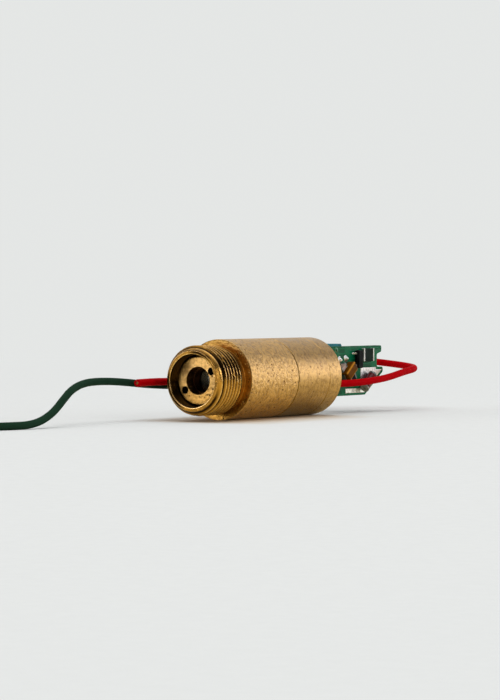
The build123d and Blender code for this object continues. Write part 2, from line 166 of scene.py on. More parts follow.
class LASER_PG_barrel(bpy.types.PropertyGroup):
    """Sizes and colours of the brass barrel."""
    body_radius: length("Body radius", "Outside radius of the three sections", 6.0)
    nose_length: length("Nose length", "From the shoulder to the nose's face", 6.92)
    nose_face_radius: length("Face radius", "Outer radius of the nose's flat face", 4.39)
    nose_chamfer: length("Nose chamfer", "Length of the chamfer along the axis", 1.12)
    thread_radius: length("Thread radius", "Crest radius of the nose thread", 5.19)
    thread_pitch: length("Thread pitch", "Distance between the crests", 0.75)
    thread_depth: length("Thread depth", "Height of the crests over the roots", 0.406)
    relief_radius: length("Relief radius", "Radius of the groove behind the thread", 4.75)
    relief_length: length("Relief length", "Length of the groove behind the thread", 1.3)
    bore_radius: length("Bore radius", "Radius inside the nose", 3.83)
    bore_pitch: length("Bore thread pitch", "Distance between the crests in the bore", 0.5)
    bore_depth: length("Bore thread depth", "Depth of the thread in the bore", 0.2)
    edge_round: length("Edge rounding", "Rounding of the turned edges", 0.05)
    blasted: colour("Blasted brass", "Colour of the bead-blasted body", (0.63, 0.385, 0.14))
    polished: colour("Turned brass", "Colour of the turned nose and bores", (0.60, 0.305, 0.057))
    # Also the colour of the painted shade in the bores, thread roots and gaps.
    darkening: colour("Tarnish", "Colour of stains and pits", (0.13, 0.048, 0.008))


class LASER_PG_board(bpy.types.PropertyGroup):
    """Sizes and colours of the driver board and its parts."""
    edge: length("Part edges", "Rounding of the edges of the small parts", 0.07)
    mask: colour("Solder mask", "Colour of the board's coating", (0.0, 0.078, 0.030))
    laminate: colour("Laminate", "Colour of the board's cut edge", (0.05, 0.17, 0.09))
    solder: colour("Solder", "Colour of solder and tinned metal", (0.72, 0.72, 0.73))
    tantalum: colour("Ochre part", "Colour of the ochre capacitor", (0.14, 0.045, 0.0))
    # Colour of the painted highlight on the ochre capacitor's upper edges.
    painted_light: colour("Highlit edges", "Colour of the ochre capacitor's edges", (0.55, 0.22, 0.02))
    ceramic: colour("Ceramic part", "Colour of the ceramic capacitor", (0.36, 0.24, 0.19))
    epoxy: colour("Black parts", "Colour of the moulded black parts", (0.007, 0.009, 0.009))
    glaze: colour("Flat resistor", "Colour of the resistor's glaze", (0.001, 0.010, 0.006))
    glass: colour("Red glass", "Colour of the round glass part", (0.12, 0.003, 0.006))
    trimmer: colour("Trimmer case", "Colour of the trimmer's case", (0.0, 0.16, 0.20))
    rotor: colour("Trimmer rotor", "Colour of the trimmer's rotor", (0.68, 0.67, 0.61))


class LASER_PG_leads(bpy.types.PropertyGroup):
    """Sizes and colours of the two supply leads."""
    diameter: length("Lead diameter", "Across the insulation", 1.1)
    core: length("Core diameter", "Across the twisted strands", 0.48)
    red: colour("Red", "Colour of the red insulation", (0.45, 0.0, 0.003))
    black: colour("Black", "Colour of the black insulation", (0.014, 0.040, 0.022))
    copper: colour("Copper", "Colour of the bare strands", (0.40, 0.12, 0.05))


class LASER_PG_stage(bpy.types.PropertyGroup):
    """Floor, light and camera."""
    paper: colour("Paper", "Colour of the floor and the background", (0.78, 0.795, 0.785))
    key: bpy.props.FloatProperty(
        name="Key lamp", description="Power of the large lamp", default=5.6, min=0.0, unit="POWER"
    )
    fill: bpy.props.FloatProperty(
        name="Fill lamp", description="Power of the second lamp", default=8.0, min=0.0, unit="POWER"
    )
    lens: bpy.props.FloatProperty(
        name="Focal length", description="Focal length of the camera in millimetres",
        default=140.88, min=1.0,
    )


# Surfaces

def finished(name, points, faces, values=None):
    """A mesh object from points in millimetres: doubles merged, empty faces dropped, faces outward.
    values holds one number a point for each named attribute of the surface."""
    together, empty = 2e-7, 1e-8
    mesh = bpy.data.meshes.new(name)
    mesh.from_pydata((np.asarray(points) * MM).tolist(), [], np.asarray(faces).tolist())
    for key, value in (values or {}).items():
        layer = mesh.attributes.new(key, "FLOAT", "POINT")
        layer.data.foreach_set("value", np.asarray(value, np.float32).ravel())
    work = bmesh.new()
    work.from_mesh(mesh)
    bmesh.ops.remove_doubles(work, verts=work.verts, dist=together)
    bmesh.ops.dissolve_degenerate(work, edges=work.edges, dist=empty)
    bmesh.ops.recalc_face_normals(work, faces=work.faces)
    work.to_mesh(mesh)
    work.free()
    mesh.shade_smooth()
    piece = bpy.data.objects.new(name, mesh)
    bpy.context.scene.collection.objects.link(piece)
    return piece


def grid_faces(rows, columns, closed_rows=False):
    """Quads of a grid of points, row by row, as indices; closed_rows joins the last row to the first."""
    row = np.arange(rows if closed_rows else rows - 1)[:, None]
    column = np.arange(columns - 1)[None, :]
    after = (row + 1) % rows
    corners = (row * columns + column, row * columns + column + 1,
               after * columns + column + 1, after * columns + column)
    return np.stack(np.broadcast_arrays(*corners), axis=-1).reshape(-1, 4)


def rounded(corners, radius, closed=True):
    """A profile with each corner turned into a short curve: corner plus its two edge directions,
    weighted by the squares of w and 1 - w, with one more point on either side to hold the flats.
    The rounding takes at most the given share of the shorter edge."""
    share, hold = 0.28, 1.6
    corner = np.asarray(corners, float)
    back = np.roll(corner, 1, 0) - corner
    on = np.roll(corner, -1, 0) - corner
    long_back = np.linalg.norm(back, axis=1, keepdims=True)
    long_on = np.linalg.norm(on, axis=1, keepdims=True)
    cut = np.minimum(radius, share * np.minimum(long_back, long_on))
    if not closed:
        cut[[0, -1]] = 0
    w = np.linspace(0, 1, CURVE_POINTS)
    into = np.concatenate([[hold], (1 - w) ** 2, [0]])[None, :, None]
    out = np.concatenate([[0], w ** 2, [hold]])[None, :, None]
    before, after = back / long_back * cut, on / long_on * cut
    curve = corner[:, None] + before[:, None] * into + after[:, None] * out
    return curve.reshape(-1, 2)


def edge_rows(profile, corners):
    """1 for the rows of a rounded profile that lie on the curves of the numbered corners, else 0."""
    row = np.arange(len(profile))
    within = row % CORNER_ROWS
    on_curve = (within > 0) & (within < CORNER_ROWS - 1) & np.isin(row // CORNER_ROWS, corners)
    return on_curve[:, None].astype(float)


def about_axis(profile, turns=SEGMENTS):
    """Points of a surface of revolution about Y: (r cos a, y, r sin a) for a profile of (y, r)."""
    angle = np.linspace(0, TURN, turns + 1)[None, :]
    y, r = profile[:, :1], profile[:, 1:]
    return np.stack([r * np.cos(angle), y + 0 * angle, r * np.sin(angle)], -1)


def turned_piece(name, corners, radius):
    """A turned piece: a rounded closed profile of (y, r) carried round the axis."""
    points = about_axis(rounded(corners, radius))
    return finished(name, points.reshape(-1, 3), grid_faces(*points.shape[:2], True))


def thread_height(phase):
    """Height of a 60 degree thread over its root, 0 to 1, for a place in the pitch from 0 to 1."""
    return np.interp(phase % 1.0, THREAD_CORNERS, [0, 0, 1, 1, 0])


def thread_rows(start, end, pitch, crest):
    """(s, phase) grids of a right-handed thread: s = u + pitch a / turn, cut off at both ends.
    Rows follow the helix at the thread's corners and close beside them, so the crest stays
    sharp, and one turn later row k meets row k + 12. crest is a place in front of the shoulder
    where the middle of a crest lies at +X."""
    middle = (THREAD_CORNERS[2] + THREAD_CORNERS[3]) / 2
    phases = np.array([0, 0.03, 0.22, 0.25, 0.28, 0.53, 0.5625, 0.59, 0.66, 0.6875, 0.72, 0.97])
    first = np.floor((start - crest) / pitch) - 2
    count = int(np.ceil((end - start) / pitch)) + 4
    u = ((first + np.arange(count))[:, None] + phases[None, :]).reshape(-1, 1)
    turned = np.linspace(0, 1, SEGMENTS + 1)[None, :]
    s = np.clip(crest + pitch * (u - middle + turned), start, end)
    return s, (s - crest) / pitch - turned + middle


def rounded_box(size, edge):
    """A box with round edges: each point is its place on a smaller inner box plus the edge radius
    along a direction that runs over the surface of a cube, made one long. The edge radius is at
    most 0.9 of half the shortest side."""
    half = np.asarray(size, float) / 2
    edge = min(edge, 0.9 * half.min())
    inner = half - edge
    bend = np.linspace(-1, 0, CURVE_POINTS)
    points, faces = [], []
    for normal in range(3):
        across, along = [axis for axis in range(3) if axis != normal]
        places, leans = [], []
        for axis in (across, along):
            low = np.full(CURVE_POINTS, -inner[axis])
            hold = max(inner[axis] - edge * 0.6, 0.0)
            places.append(np.concatenate([low, [-hold, hold], -low]))
            leans.append(np.concatenate([bend, [0, 0], -bend[::-1]]))
        for side in (-1, 1):
            place = np.zeros((len(places[0]), len(places[1]), 3))
            lean = np.zeros_like(place)
            place[..., normal], lean[..., normal] = side * inner[normal], side
            place[..., across], lean[..., across] = places[0][:, None], leans[0][:, None]
            place[..., along], lean[..., along] = places[1][None, :], leans[1][None, :]
            lean /= np.linalg.norm(lean, axis=-1, keepdims=True)
            faces.append(grid_faces(*place.shape[:2]) + sum(len(group) for group in points))
            points.append((place + edge * lean).reshape(-1, 3))
    return np.concatenate(points), np.concatenate(faces)


def seated(points, side, place, turn=0.0, height=0.0):
    """Moves points from a part's own axes (X along it, Z off the board) to a place on the board."""
    angle = np.radians(turn)
    x_axis = np.array([0, np.cos(angle), np.sin(angle)])
    z_axis = np.array([side, 0, 0])
    y_axis = np.cross(z_axis, x_axis)
    origin = np.array([side * (BOARD_FACE + height), REAR_RIM + place[0], place[1]])
    return origin + np.asarray(points) @ np.stack([x_axis, y_axis, z_axis])


def gathered(parts):
    """Several (points, faces) surfaces as one."""
    starts = np.cumsum([0] + [len(points) for points, _ in parts[:-1]])
    faces = [group + start for start, (_, group) in zip(starts, parts)]
    return np.concatenate([points for points, _ in parts]), np.concatenate(faces)


def box_at(centre, size, edge):
    """A rounded box moved to a centre."""
    points, faces = rounded_box(size, edge)
    return points + np.asarray(centre), faces


def across_of(along):
    """Two directions at right angles to a direction and to each other."""
    side = np.cross(along, [0.0, 0.0, 1.0] if abs(along[2]) < 0.9 else [1.0, 0.0, 0.0])
    side /= np.linalg.norm(side)
    return side, np.cross(along, side)


def about_line(start, along, t, r, turns):
    """Points and faces of a tube about a line: start plus t along it plus r cos a and r sin a
    across it, where t holds one number a row, and r one a row or one a point."""
    side, other = across_of(along)
    angle = np.linspace(0, TURN, turns + 1)[None, :, None]
    points = start + t[..., None] * along + r[..., None] * (np.cos(angle) * side + np.sin(angle) * other)
    return points.reshape(-1, 3), grid_faces(*points.shape[:2])


def capped_rod(start, end, radius, round_end, turns=40):
    """A rod between two points with rounded ends, closed at both poles."""
    start, end = np.asarray(start, float), np.asarray(end, float)
    reach = np.linalg.norm(end - start)
    profile = rounded([(0, 0), (0, radius), (reach, radius), (reach, 0)], round_end, closed=False)
    return about_line(start, (end - start) / reach, profile[:, :1], profile[:, 1:], turns)


def solder_heap(radius, height, stretch=(1.0, 1.0), seed=0, turns=36, rings=15, sunk=0.02):
    """A heap of solder: height times half of 1 + cos(pi t) at radius times t, its foot a little
    wavy round the edge and sunk into the board."""
    draw = np.random.default_rng(seed)
    t = np.linspace(0, 1, rings)[:, None]
    angle = np.linspace(0, TURN, turns + 1)[None, :]
    lean = draw.uniform(0, TURN, 3)
    wave = 1 + 0.07 * np.sin(2 * angle + lean[0]) + 0.04 * np.sin(3 * angle + lean[1])
    r = radius * t * (1 + (wave - 1) * t)
    z = height * 0.5 * (1 + np.cos(np.pi * t)) + 0 * angle
    top = np.stack([r * np.cos(angle) * stretch[0], r * np.sin(angle) * stretch[1], z], -1)
    foot = top[-1:] * [1, 1, 0] - [0, 0, sunk]
    points = np.concatenate([top, foot, foot * [0, 0, 1]])
    return points.reshape(-1, 3), grid_faces(*points.shape[:2])


def twisted_core(start, end, radius, strands=7, lay=2.6, turns=56):
    """A bundle of twisted strands: its radius rises and falls with the cosine of the angle times
    half the number of outer strands, without its sign, and turns once in lay millimetres."""
    step, valley = 0.06, 0.84
    start, end = np.asarray(start, float), np.asarray(end, float)
    reach = np.linalg.norm(end - start)
    t = np.linspace(0, reach, max(int(reach / step), 8))
    close = np.concatenate([[0], np.ones(len(t)), [0]])[:, None]
    t = np.concatenate([[0], t, [reach]])[:, None]
    angle = np.linspace(0, TURN, turns + 1)[None, :]
    ripple = np.abs(np.cos(strands / 2 * (angle - TURN * t / lay)))
    r = radius * (valley + (1 - valley) * ripple) * close
    return about_line(start, (end - start) / reach, t, r, turns)


def dressed(node, name, edge, segments=2):
    """A copy of a CAD node with its loose triangles merged and its edges rounded by a bevel."""
    flat, sharp = np.radians(1.0), np.radians(35.0)
    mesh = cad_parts[node].data.copy()
    mesh.name = name
    work = bmesh.new()
    work.from_mesh(mesh)
    bmesh.ops.remove_doubles(work, verts=work.verts, dist=1e-6)
    bmesh.ops.dissolve_limit(work, angle_limit=flat, verts=work.verts, edges=work.edges)
    bmesh.ops.recalc_face_normals(work, faces=work.faces)
    work.to_mesh(mesh)
    work.free()
    mesh.materials.clear()
    mesh.shade_smooth()
    mesh.set_sharp_from_angle(angle=sharp)
    piece = bpy.data.objects.new(name, mesh)
    bpy.context.scene.collection.objects.link(piece)
    bevel = piece.modifiers.new("edges", "BEVEL")
    bevel.width, bevel.segments = edge * MM, segments
    bevel.limit_method, bevel.angle_limit = "ANGLE", sharp
    bevel.harden_normals = True
    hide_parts(node)
    return piece


def marked(piece, name, measure):
    """Keeps a number on each vertex of a piece, measured from its place in millimetres."""
    mesh = piece.data
    places = np.empty(3 * len(mesh.vertices), np.float32)
    mesh.vertices.foreach_get("co", places)
    layer = mesh.attributes.new(name, "FLOAT", "POINT")
    layer.data.foreach_set("value", measure(places.reshape(-1, 3) / MM).astype(np.float32))


def ring_painted_shade(place):
    """1 at the locking ring's rim and nearly 1 behind its face, for painted shade in the gap round it
    and behind its face, else 0.
    """
    x, y, z = place.T
    return np.where(y > -RING_FRONT, 0.95, np.where(np.hypot(x, z) > RING_RIM_RADIUS, 1.0, 0.0))


def placed(piece, material, body="module", replaced=()):
    """Gives a piece its finish and the body it rides on, and hides the CAD nodes it stands for."""
    piece.data.materials.append(material)
    if replaced:
        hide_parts(*replaced)
    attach(piece, body)
    return piece


# Finishes

def shade(tone, *shares):
    """A colour times one share, or times a share each for red, green and blue."""
    return [min(part * share, 1.0) for part, share in zip(tone, shares * 3)]


class Nodes:
    """Adds nodes to the tree of a material or of the world."""

    def __init__(self, tree):
        self.tree = tree

    def lead(self, value, socket):
        """Leads a node's output to a socket, or sets the socket to a value."""
        if isinstance(value, bpy.types.NodeSocket):
            self.tree.links.new(value, socket)
        else:
            socket.default_value = value

    def node(self, kind, settings=None, **inputs):
        """A node with its settings and its inputs, each a value or another node's output. An
        input goes by its name, or by i and its number."""
        made = self.tree.nodes.new("ShaderNode" + kind)
        for key, value in (settings or {}).items():
            setattr(made, key, value)
        for key, value in inputs.items():
            numbered = key[0] == "i" and key[1:].isdigit()
            self.lead(value, made.inputs[int(key[1:]) if numbered else key.replace("_", " ")])
        return made

    def ramp(self, value, *stops):
        """Colours or greys by value, each stop a (place, grey or colour)."""
        made = self.node("ValToRGB", Fac=value)
        band = made.color_ramp
        for count, (at, tone) in enumerate(stops):
            spot = band.elements[count] if count < 2 else band.elements.new(at)
            spot.position = at
            spot.color = (*tone, 1) if hasattr(tone, "__len__") else (tone, tone, tone, 1)
        return made.outputs["Color"]

    def reach(self, value, low, high, out_low=0.0, out_high=1.0):
        """Value stretched from one range to another and held inside it."""
        made = self.node("MapRange", i0=value, i1=low, i2=high, i3=out_low, i4=out_high)
        return made.outputs["Result"]

    def maths(self, kind, one, other=0.0):
        """One step of arithmetic."""
        return self.node("Math", {"operation": kind}, i0=one, i1=other).outputs[0]

    def sum(self, one, other):
        """Two values added."""
        return self.maths("ADD", one, other)

    def times(self, one, other):
        """Two values multiplied."""
        return self.maths("MULTIPLY", one, other)

    def mix(self, factor, one, other):
        """Two colours mixed by a factor."""
        made = self.node("Mix", {"data_type": "RGBA"}, i0=factor)
        for socket, value in ((made.inputs[6], one), (made.inputs[7], other)):
            given = not isinstance(value, bpy.types.NodeSocket)
            self.lead((*value, 1) if given else value, socket)
        return made.outputs[2]

    def distance(self, place, centre=(0.0, 0.0, 0.0)):
        """Distance of a place from a centre."""
        made = self.node("VectorMath", {"operation": "DISTANCE"}, i0=place, i1=centre)
        return made.outputs["Value"]

    def ray(self, kind):
        """1 for light rays of that kind, else 0."""
        return self.node("LightPath").outputs[f"Is {kind} Ray"]


class Finish(Nodes):
    """Builds one material's nodes. Places are Object coordinates counted in millimetres."""

    def __init__(self, name, **sockets):
        self.material = bpy.data.materials.new(name)
        self.material.use_nodes = True
        super().__init__(self.material.node_tree)
        self.shader = self.tree.nodes["Principled BSDF"]
        for key, value in sockets.items():
            self.shader.inputs[key.replace("_", " ")].default_value = value

    def mapped(self, place, **settings):
        """Places moved, turned or stretched."""
        return self.node("Mapping", Vector=place, **settings).outputs["Vector"]

    def place(self, scale=(1, 1, 1)):
        """Object coordinates in millimetres, stretched by a scale."""
        at = self.node("TexCoord").outputs["Object"]
        return self.mapped(at, Scale=[part / MM for part in scale])

    def noise(self, place, scale, detail=3.0, roughness=0.55):
        """Soft noise with scale features a millimetre."""
        made = self.node("TexNoise", Vector=place, Scale=scale, Detail=detail, Roughness=roughness)
        return made.outputs["Fac"]

    def cells(self, place, scale):
        """Distance to the nearest of scattered points."""
        return self.node("TexVoronoi", Vector=place, Scale=scale).outputs["Distance"]

    def attribute(self, name):
        """A named number kept on the surface."""
        return self.node("Attribute", {"attribute_name": name}).outputs["Fac"]

    def relief(self, height, depth):
        """Bump from a height of 0 to 1, depth millimetres deep."""
        return self.node("Bump", Height=height, Distance=depth * MM, Strength=1.0).outputs["Normal"]

    def link(self, **outputs):
        """Outputs led to the shader's sockets."""
        for key, value in outputs.items():
            self.tree.links.new(value, self.shader.inputs[key.replace("_", " ")])
        return self.material


def ring_stains_and_shade(f, at, body):
    """Brownish marks on the locking ring's face, broken up by noise: a painted shadow at the upper
    left, a fainter patch at the right and two small stains. A painted near-black rim covers the
    countersinks round its two spanner holes, standing in for their shaded insides, so they look
    larger."""
    # The first colour serves the stains and the painted shadow, the second the painted shade round the
    # holes.
    stain_and_shade_brown, black = (0.12, 0.068, 0.022), (0.004, 0.002, 0.001)
    flat = f.mapped(at, Scale=(1, 0, 1))
    blotch = f.reach(f.noise(at, 1.4, 4.0, 0.7), 0.3, 0.55, 0.35, 1.0)
    # A painted shadow at the upper left, a fainter patch at the right, and two small stains.
    for centre, near, far, share in (
        ((-2.3, 0, 1.8), 0.4, 2.0, 0.95), ((2.7, 0, -0.3), 0.3, 1.7, 0.4),
        ((0.3, 0, -2.25), 0.07, 0.13, 0.9), ((1.68, 0, 2.55), 0.07, 0.13, 0.9),
    ):
        amount = f.reach(f.distance(flat, centre), near, far, share, 0.0)
        body = f.mix(f.times(amount, blotch), body, stain_and_shade_brown)
    # Painted shade round the spanner holes.
    for side in (1, -1):
        away = f.distance(flat, [side * part for part in SPANNER_HOLE])
        body = f.mix(f.reach(away, 0.55, 0.62, 1.0, 0.0), body, black)
    return body


def scattered_pits(f, at):
    """1 in the pits, 0 between them: large and small ones at the hearts of cells, in patches."""
    patches = f.reach(f.noise(at, 0.7, 2.0), 0.42, 0.52)
    large = f.times(f.reach(f.cells(at, 1.15), 0.11, 0.2, 1.0, 0.0), patches)
    small = f.times(f.reach(f.cells(at, 2.3), 0.10, 0.2, 1.0, 0.0), patches)
    return f.maths("MAXIMUM", large, f.times(small, 0.75))


def brass(name, tone, stain_and_shade, rough, grain, turning, pits, polished=None, under=1.0, extra=None):
    """Brass: broad stains, blasted grain, turning marks about the axis and scattered pits, with
    painted shade that makes it a little darker on top and, times under, darker below, both deeper
    in colour. With polished, the surface's own machined attribute brings that tone, finer marks
    and a brighter finish, and its attribute of painted shade and darker patches makes it dull up
    to 0.2 and near black above. Its attribute of painted highlights makes it pale. extra adds
    stains and painted shade of its own, and a further attribute paints shade over them."""
    f = Finish(name, Metallic=1.0)
    at = f.place()
    broad = f.noise(at, 0.42, 5.0, 0.6)
    fine = f.noise(at, 1.9, 3.0, 0.65)
    rings = f.noise(f.place((0.04, 9.0, 0.04)), 1.0, 4.0, 0.65)
    dull = [0.72 * part + 0.28 * low for part, low in zip(tone, stain_and_shade)]
    body = f.ramp(broad, (0.28, dull), (0.46, tone), (0.7, shade(tone, 1.12)))
    height = f.sum(f.node("SeparateXYZ", i0=at).outputs["Z"], f.times(broad, 4.0))
    # Painted shade on top: a little darker and deeper in colour.
    body = f.mix(f.reach(height, 4.6, 7.6, 0.0, 0.5), body, shade(tone, 0.85, 0.83, 0.55))
    # Painted shade below, darker the lower under is.
    below = shade(tone, 0.94 * under, 0.77 * under, 0.33 * under)
    body = f.mix(f.reach(height, 1.6, -2.4, 0.0, 0.85), body, below)
    body = f.mix(f.reach(fine, 0.38, 0.56, 0.46, 0.0), body, stain_and_shade)
    surface = f.sum(f.times(fine, grain), f.times(rings, turning))
    clouds = f.times(f.sum(broad, fine), 0.5)
    roughness = f.reach(clouds, 0.35, 0.65, rough - 0.07, rough + 0.09)
    pitted = f.times(scattered_pits(f, at), pits)
    if polished is not None:
        machined, painted_shade_and_patches = f.attribute("machined"), f.attribute("painted_shade_and_patches")
        golden = f.ramp(broad, (0.3, shade(polished, 0.6)), (0.62, polished))
        mottled = f.reach(f.noise(at, 0.8, 4.0, 0.65), 0.5, 0.64, 0.0, 0.35)
        body = f.mix(machined, body, f.mix(mottled, golden, shade(polished, 0.35)))
        # Painted shade, near black, in the bores, thread roots and gaps, and the face's darker patches.
        body = f.mix(f.reach(painted_shade_and_patches, 0.2, 0.9, 0.0, 0.97), body, shade(stain_and_shade, 0.1))
        blasted = f.times(surface, f.maths("SUBTRACT", 1.0, machined))
        surface = f.sum(blasted, f.times(f.times(rings, 0.32), machined))
        dulled = f.times(f.reach(painted_shade_and_patches, 0.05, 0.15), f.reach(painted_shade_and_patches, 0.2, 0.3, 0.15, 0.0))
        roughness = f.sum(f.times(roughness, f.reach(machined, 0.0, 1.0, 1.0, 0.4)), dulled)
        pitted = f.times(pitted, f.reach(machined, 0.0, 1.0, 1.0, 0.2))
    body = f.mix(f.times(pitted, 0.85), body, stain_and_shade)
    # Painted highlights: a paler tone where the surface's attribute for them is high.
    painted_highlight = f.times(f.attribute("painted_highlight"), f.reach(fine, 0.35, 0.6, 0.35, 1.0))
    body = f.mix(painted_highlight, body, [min(1.5 * part + 0.1, 1.0) for part in tone])
    # Painted shade, dark, over the stains and painted shade of extra where a further attribute is high.
    if extra is not None:
        body = f.mix(f.attribute("darkened"), extra(f, at, body), shade(stain_and_shade, 0.25))
    relief = f.maths("SUBTRACT", surface, f.times(pitted, 1.2))
    roughness = f.sum(roughness, f.times(pitted, 0.3))
    return f.link(Base_Color=body, Roughness=roughness, Normal=f.relief(relief, 0.16))


def solder_finish(name, tone, rough=0.28, bright=None, flux=None):
    """Solder and tinned metal: frosted patches and flow marks. bright is a tone for where the
    surface's own clean attribute is 1, and flux the height in millimetres above which green flux
    covers it."""
    f = Finish(name, Metallic=1.0)
    at = f.place()
    broad, fine = f.noise(at, 1.6, 4.0), f.noise(at, 9.0, 2.0)
    body = f.ramp(broad, (0.3, shade(tone, 0.5)), (0.55, tone))
    if bright is not None:
        body = f.mix(f.attribute("clean"), body, bright)
    if flux is not None:
        high = f.node("SeparateXYZ", i0=at).outputs["Z"]
        body = f.mix(f.reach(high, flux, flux + 0.1), body, (0.06, 0.15, 0.09))
    return f.link(
        Base_Color=body, Roughness=f.reach(broad, 0.3, 0.7, rough + 0.18, rough - 0.08),
        Normal=f.relief(f.sum(broad, f.times(fine, 0.3)), 0.06),
    )


def moulded(name, tone, rough, grain=0.008, fleck=0.12, **sockets):
    """Moulded or fired material: faint cloudiness and fine grain."""
    f = Finish(name, **sockets)
    at = f.place()
    broad, fine = f.noise(at, 0.9, 3.0), f.noise(at, 14.0, 2.0)
    high = [min(part * (1 + fleck) + 0.004, 1.0) for part in tone]
    body = f.ramp(broad, (0.32, shade(tone, 1 - 1.4 * fleck)), (0.68, high))
    roughness = f.reach(fine, 0.3, 0.7, rough - 0.06, rough + 0.08)
    return f.link(Base_Color=body, Roughness=roughness, Normal=f.relief(fine, grain))


def banded(name, tone, band, painted_highlight, rough):
    """The ochre capacitor: a moulded body with a darker band at one end, by the piece's own
    distance along it, and a pale painted highlight along its upper edges."""
    f = Finish(name, Roughness=rough, Specular_IOR_Level=0.02)
    at = f.place()
    fine = f.noise(at, 12.0, 2.0)
    cloudy = f.ramp(f.noise(at, 1.2), (0.3, shade(tone, 0.85)), (0.7, tone))
    body = f.mix(f.reach(f.attribute("along"), 0.52, 0.58), cloudy, band)
    # Painted highlight along the upper edges.
    painted_light = f.times(f.attribute("edges"), f.reach(fine, 0.25, 0.6, 0.75, 1.0))
    return f.link(Base_Color=f.mix(painted_light, body, painted_highlight), Normal=f.relief(fine, 0.01))


def board_finish(name, mask, laminate):
    """Solder mask over copper: straight tracks show as raised lighter lines, and the cut edge
    shows the laminate's layers."""
    f = Finish(name, Specular_IOR_Level=0.05, Coat_Weight=0.03, Coat_Roughness=0.25)
    at = f.place()
    turned = f.mapped(f.mapped(at, Rotation=(0, TURN / 4, 0)), Rotation=(0, 0, TURN / 4))
    tracks = f.node(
        "TexBrick", {"offset": 0.37, "squash": 1.6, "squash_frequency": 3}, Vector=turned,
        Scale=1.0, Mortar_Size=0.13, Mortar_Smooth=0.25, Brick_Width=2.9, Row_Height=0.82,
    ).outputs["Fac"]
    copper = f.maths("MAXIMUM", tracks, f.reach(f.noise(at, 0.35, 1.0), 0.48, 0.54))
    green = f.mix(copper, mask, shade(mask, 1.7))
    green = f.mix(f.reach(f.noise(at, 5.0), 0.4, 0.7, 0.0, 0.35), green, shade(mask, 0.5))
    across = f.node("SeparateXYZ", i0=f.node("NewGeometry").outputs["Normal"]).outputs["X"]
    flat = f.maths("ABSOLUTE", across)
    layers = f.noise(f.place((9.0, 0.6, 0.6)), 1.0, 2.0)
    edge = f.ramp(layers, (0.35, shade(laminate, 0.6)), (0.65, laminate))
    return f.link(
        Base_Color=f.mix(f.reach(flat, 0.4, 0.75), edge, green),
        Roughness=f.reach(flat, 0.4, 0.75, 0.65, 0.32), Normal=f.relief(copper, 0.035),
    )


def clear(name, tone, ior, rough=0.02, **sockets):
    """Optical glass or crystal: clear, with a faint veil of dust."""
    f = Finish(name, Transmission_Weight=1.0, IOR=ior, **sockets)
    dust = f.noise(f.place(), 4.0, 4.0, 0.7)
    body = f.ramp(dust, (0.4, tone), (0.8, shade(tone, 0.86)))
    return f.link(Base_Color=body, Roughness=f.reach(dust, 0.45, 0.75, rough, rough + 0.06))


def insulation(name, tone, rough):
    """Extruded insulation: faint lines of the die, dust and small scuffs."""
    f = Finish(name, Specular_IOR_Level=0.008)
    at = f.place()
    broad, fine = f.noise(at, 0.5, 4.0), f.noise(at, 7.0, 3.0)
    scuff = f.reach(f.noise(f.place((1.0, 0.25, 1.0)), 2.2, 4.0, 0.7), 0.6, 0.72, 0.0, 0.3)
    dusty = [part + 0.002 * (1 - part) for part in tone]
    body = f.mix(scuff, f.ramp(broad, (0.3, shade(tone, 0.8)), (0.7, tone)), dusty)
    return f.link(
        Base_Color=body, Roughness=f.reach(fine, 0.3, 0.7, rough - 0.05, rough + 0.1),
        Normal=f.relief(fine, 0.012),
    )


# Operators

class LASER_OT_camera(bpy.types.Operator):
    """Sets the camera at the photograph's viewing angle"""
    bl_idname = "laser.camera"
    bl_label = "Camera"

    def execute(self, context):
        data = bpy.data.cameras.new("camera")
        camera = bpy.data.objects.new("camera", data)
        context.scene.collection.objects.link(camera)
        data.lens = context.scene.laser_stage.lens
        data.clip_start = 0.01
        camera.location = CAMERA_PLACE
        camera.rotation_euler = Vector(CAMERA_VIEW).to_track_quat("-Z", "Y").to_euler()
        context.scene.camera = camera
        return {"FINISHED"}


def lead_curve(name, route, diameter):
    """A lead as one open spline of order 3 whose control points are its route."""
    curve = bpy.data.curves.new(name, "CURVE")
    curve.dimensions = "3D"
    spline = curve.splines.new("NURBS")
    spline.points.add(len(route) - 1)
    for point, place in zip(spline.points, route):
        point.co = (*(part * MM for part in place), 1.0)
    spline.order_u = 3
    spline.use_endpoint_u = True
    spline.use_smooth = True
    curve.resolution_u = 12
    curve.bevel_depth = diameter / 2
    curve.bevel_resolution = 7
    curve.use_fill_caps = True
    lead = bpy.data.objects.new(name, curve)
    bpy.context.scene.collection.objects.link(lead)
    return lead


def beyond(route, distance):
    """The point a distance past the end of a route, in line with its last run."""
    before, here = np.array(route[-2:])
    return here + distance * (here - before) / np.linalg.norm(here - before)


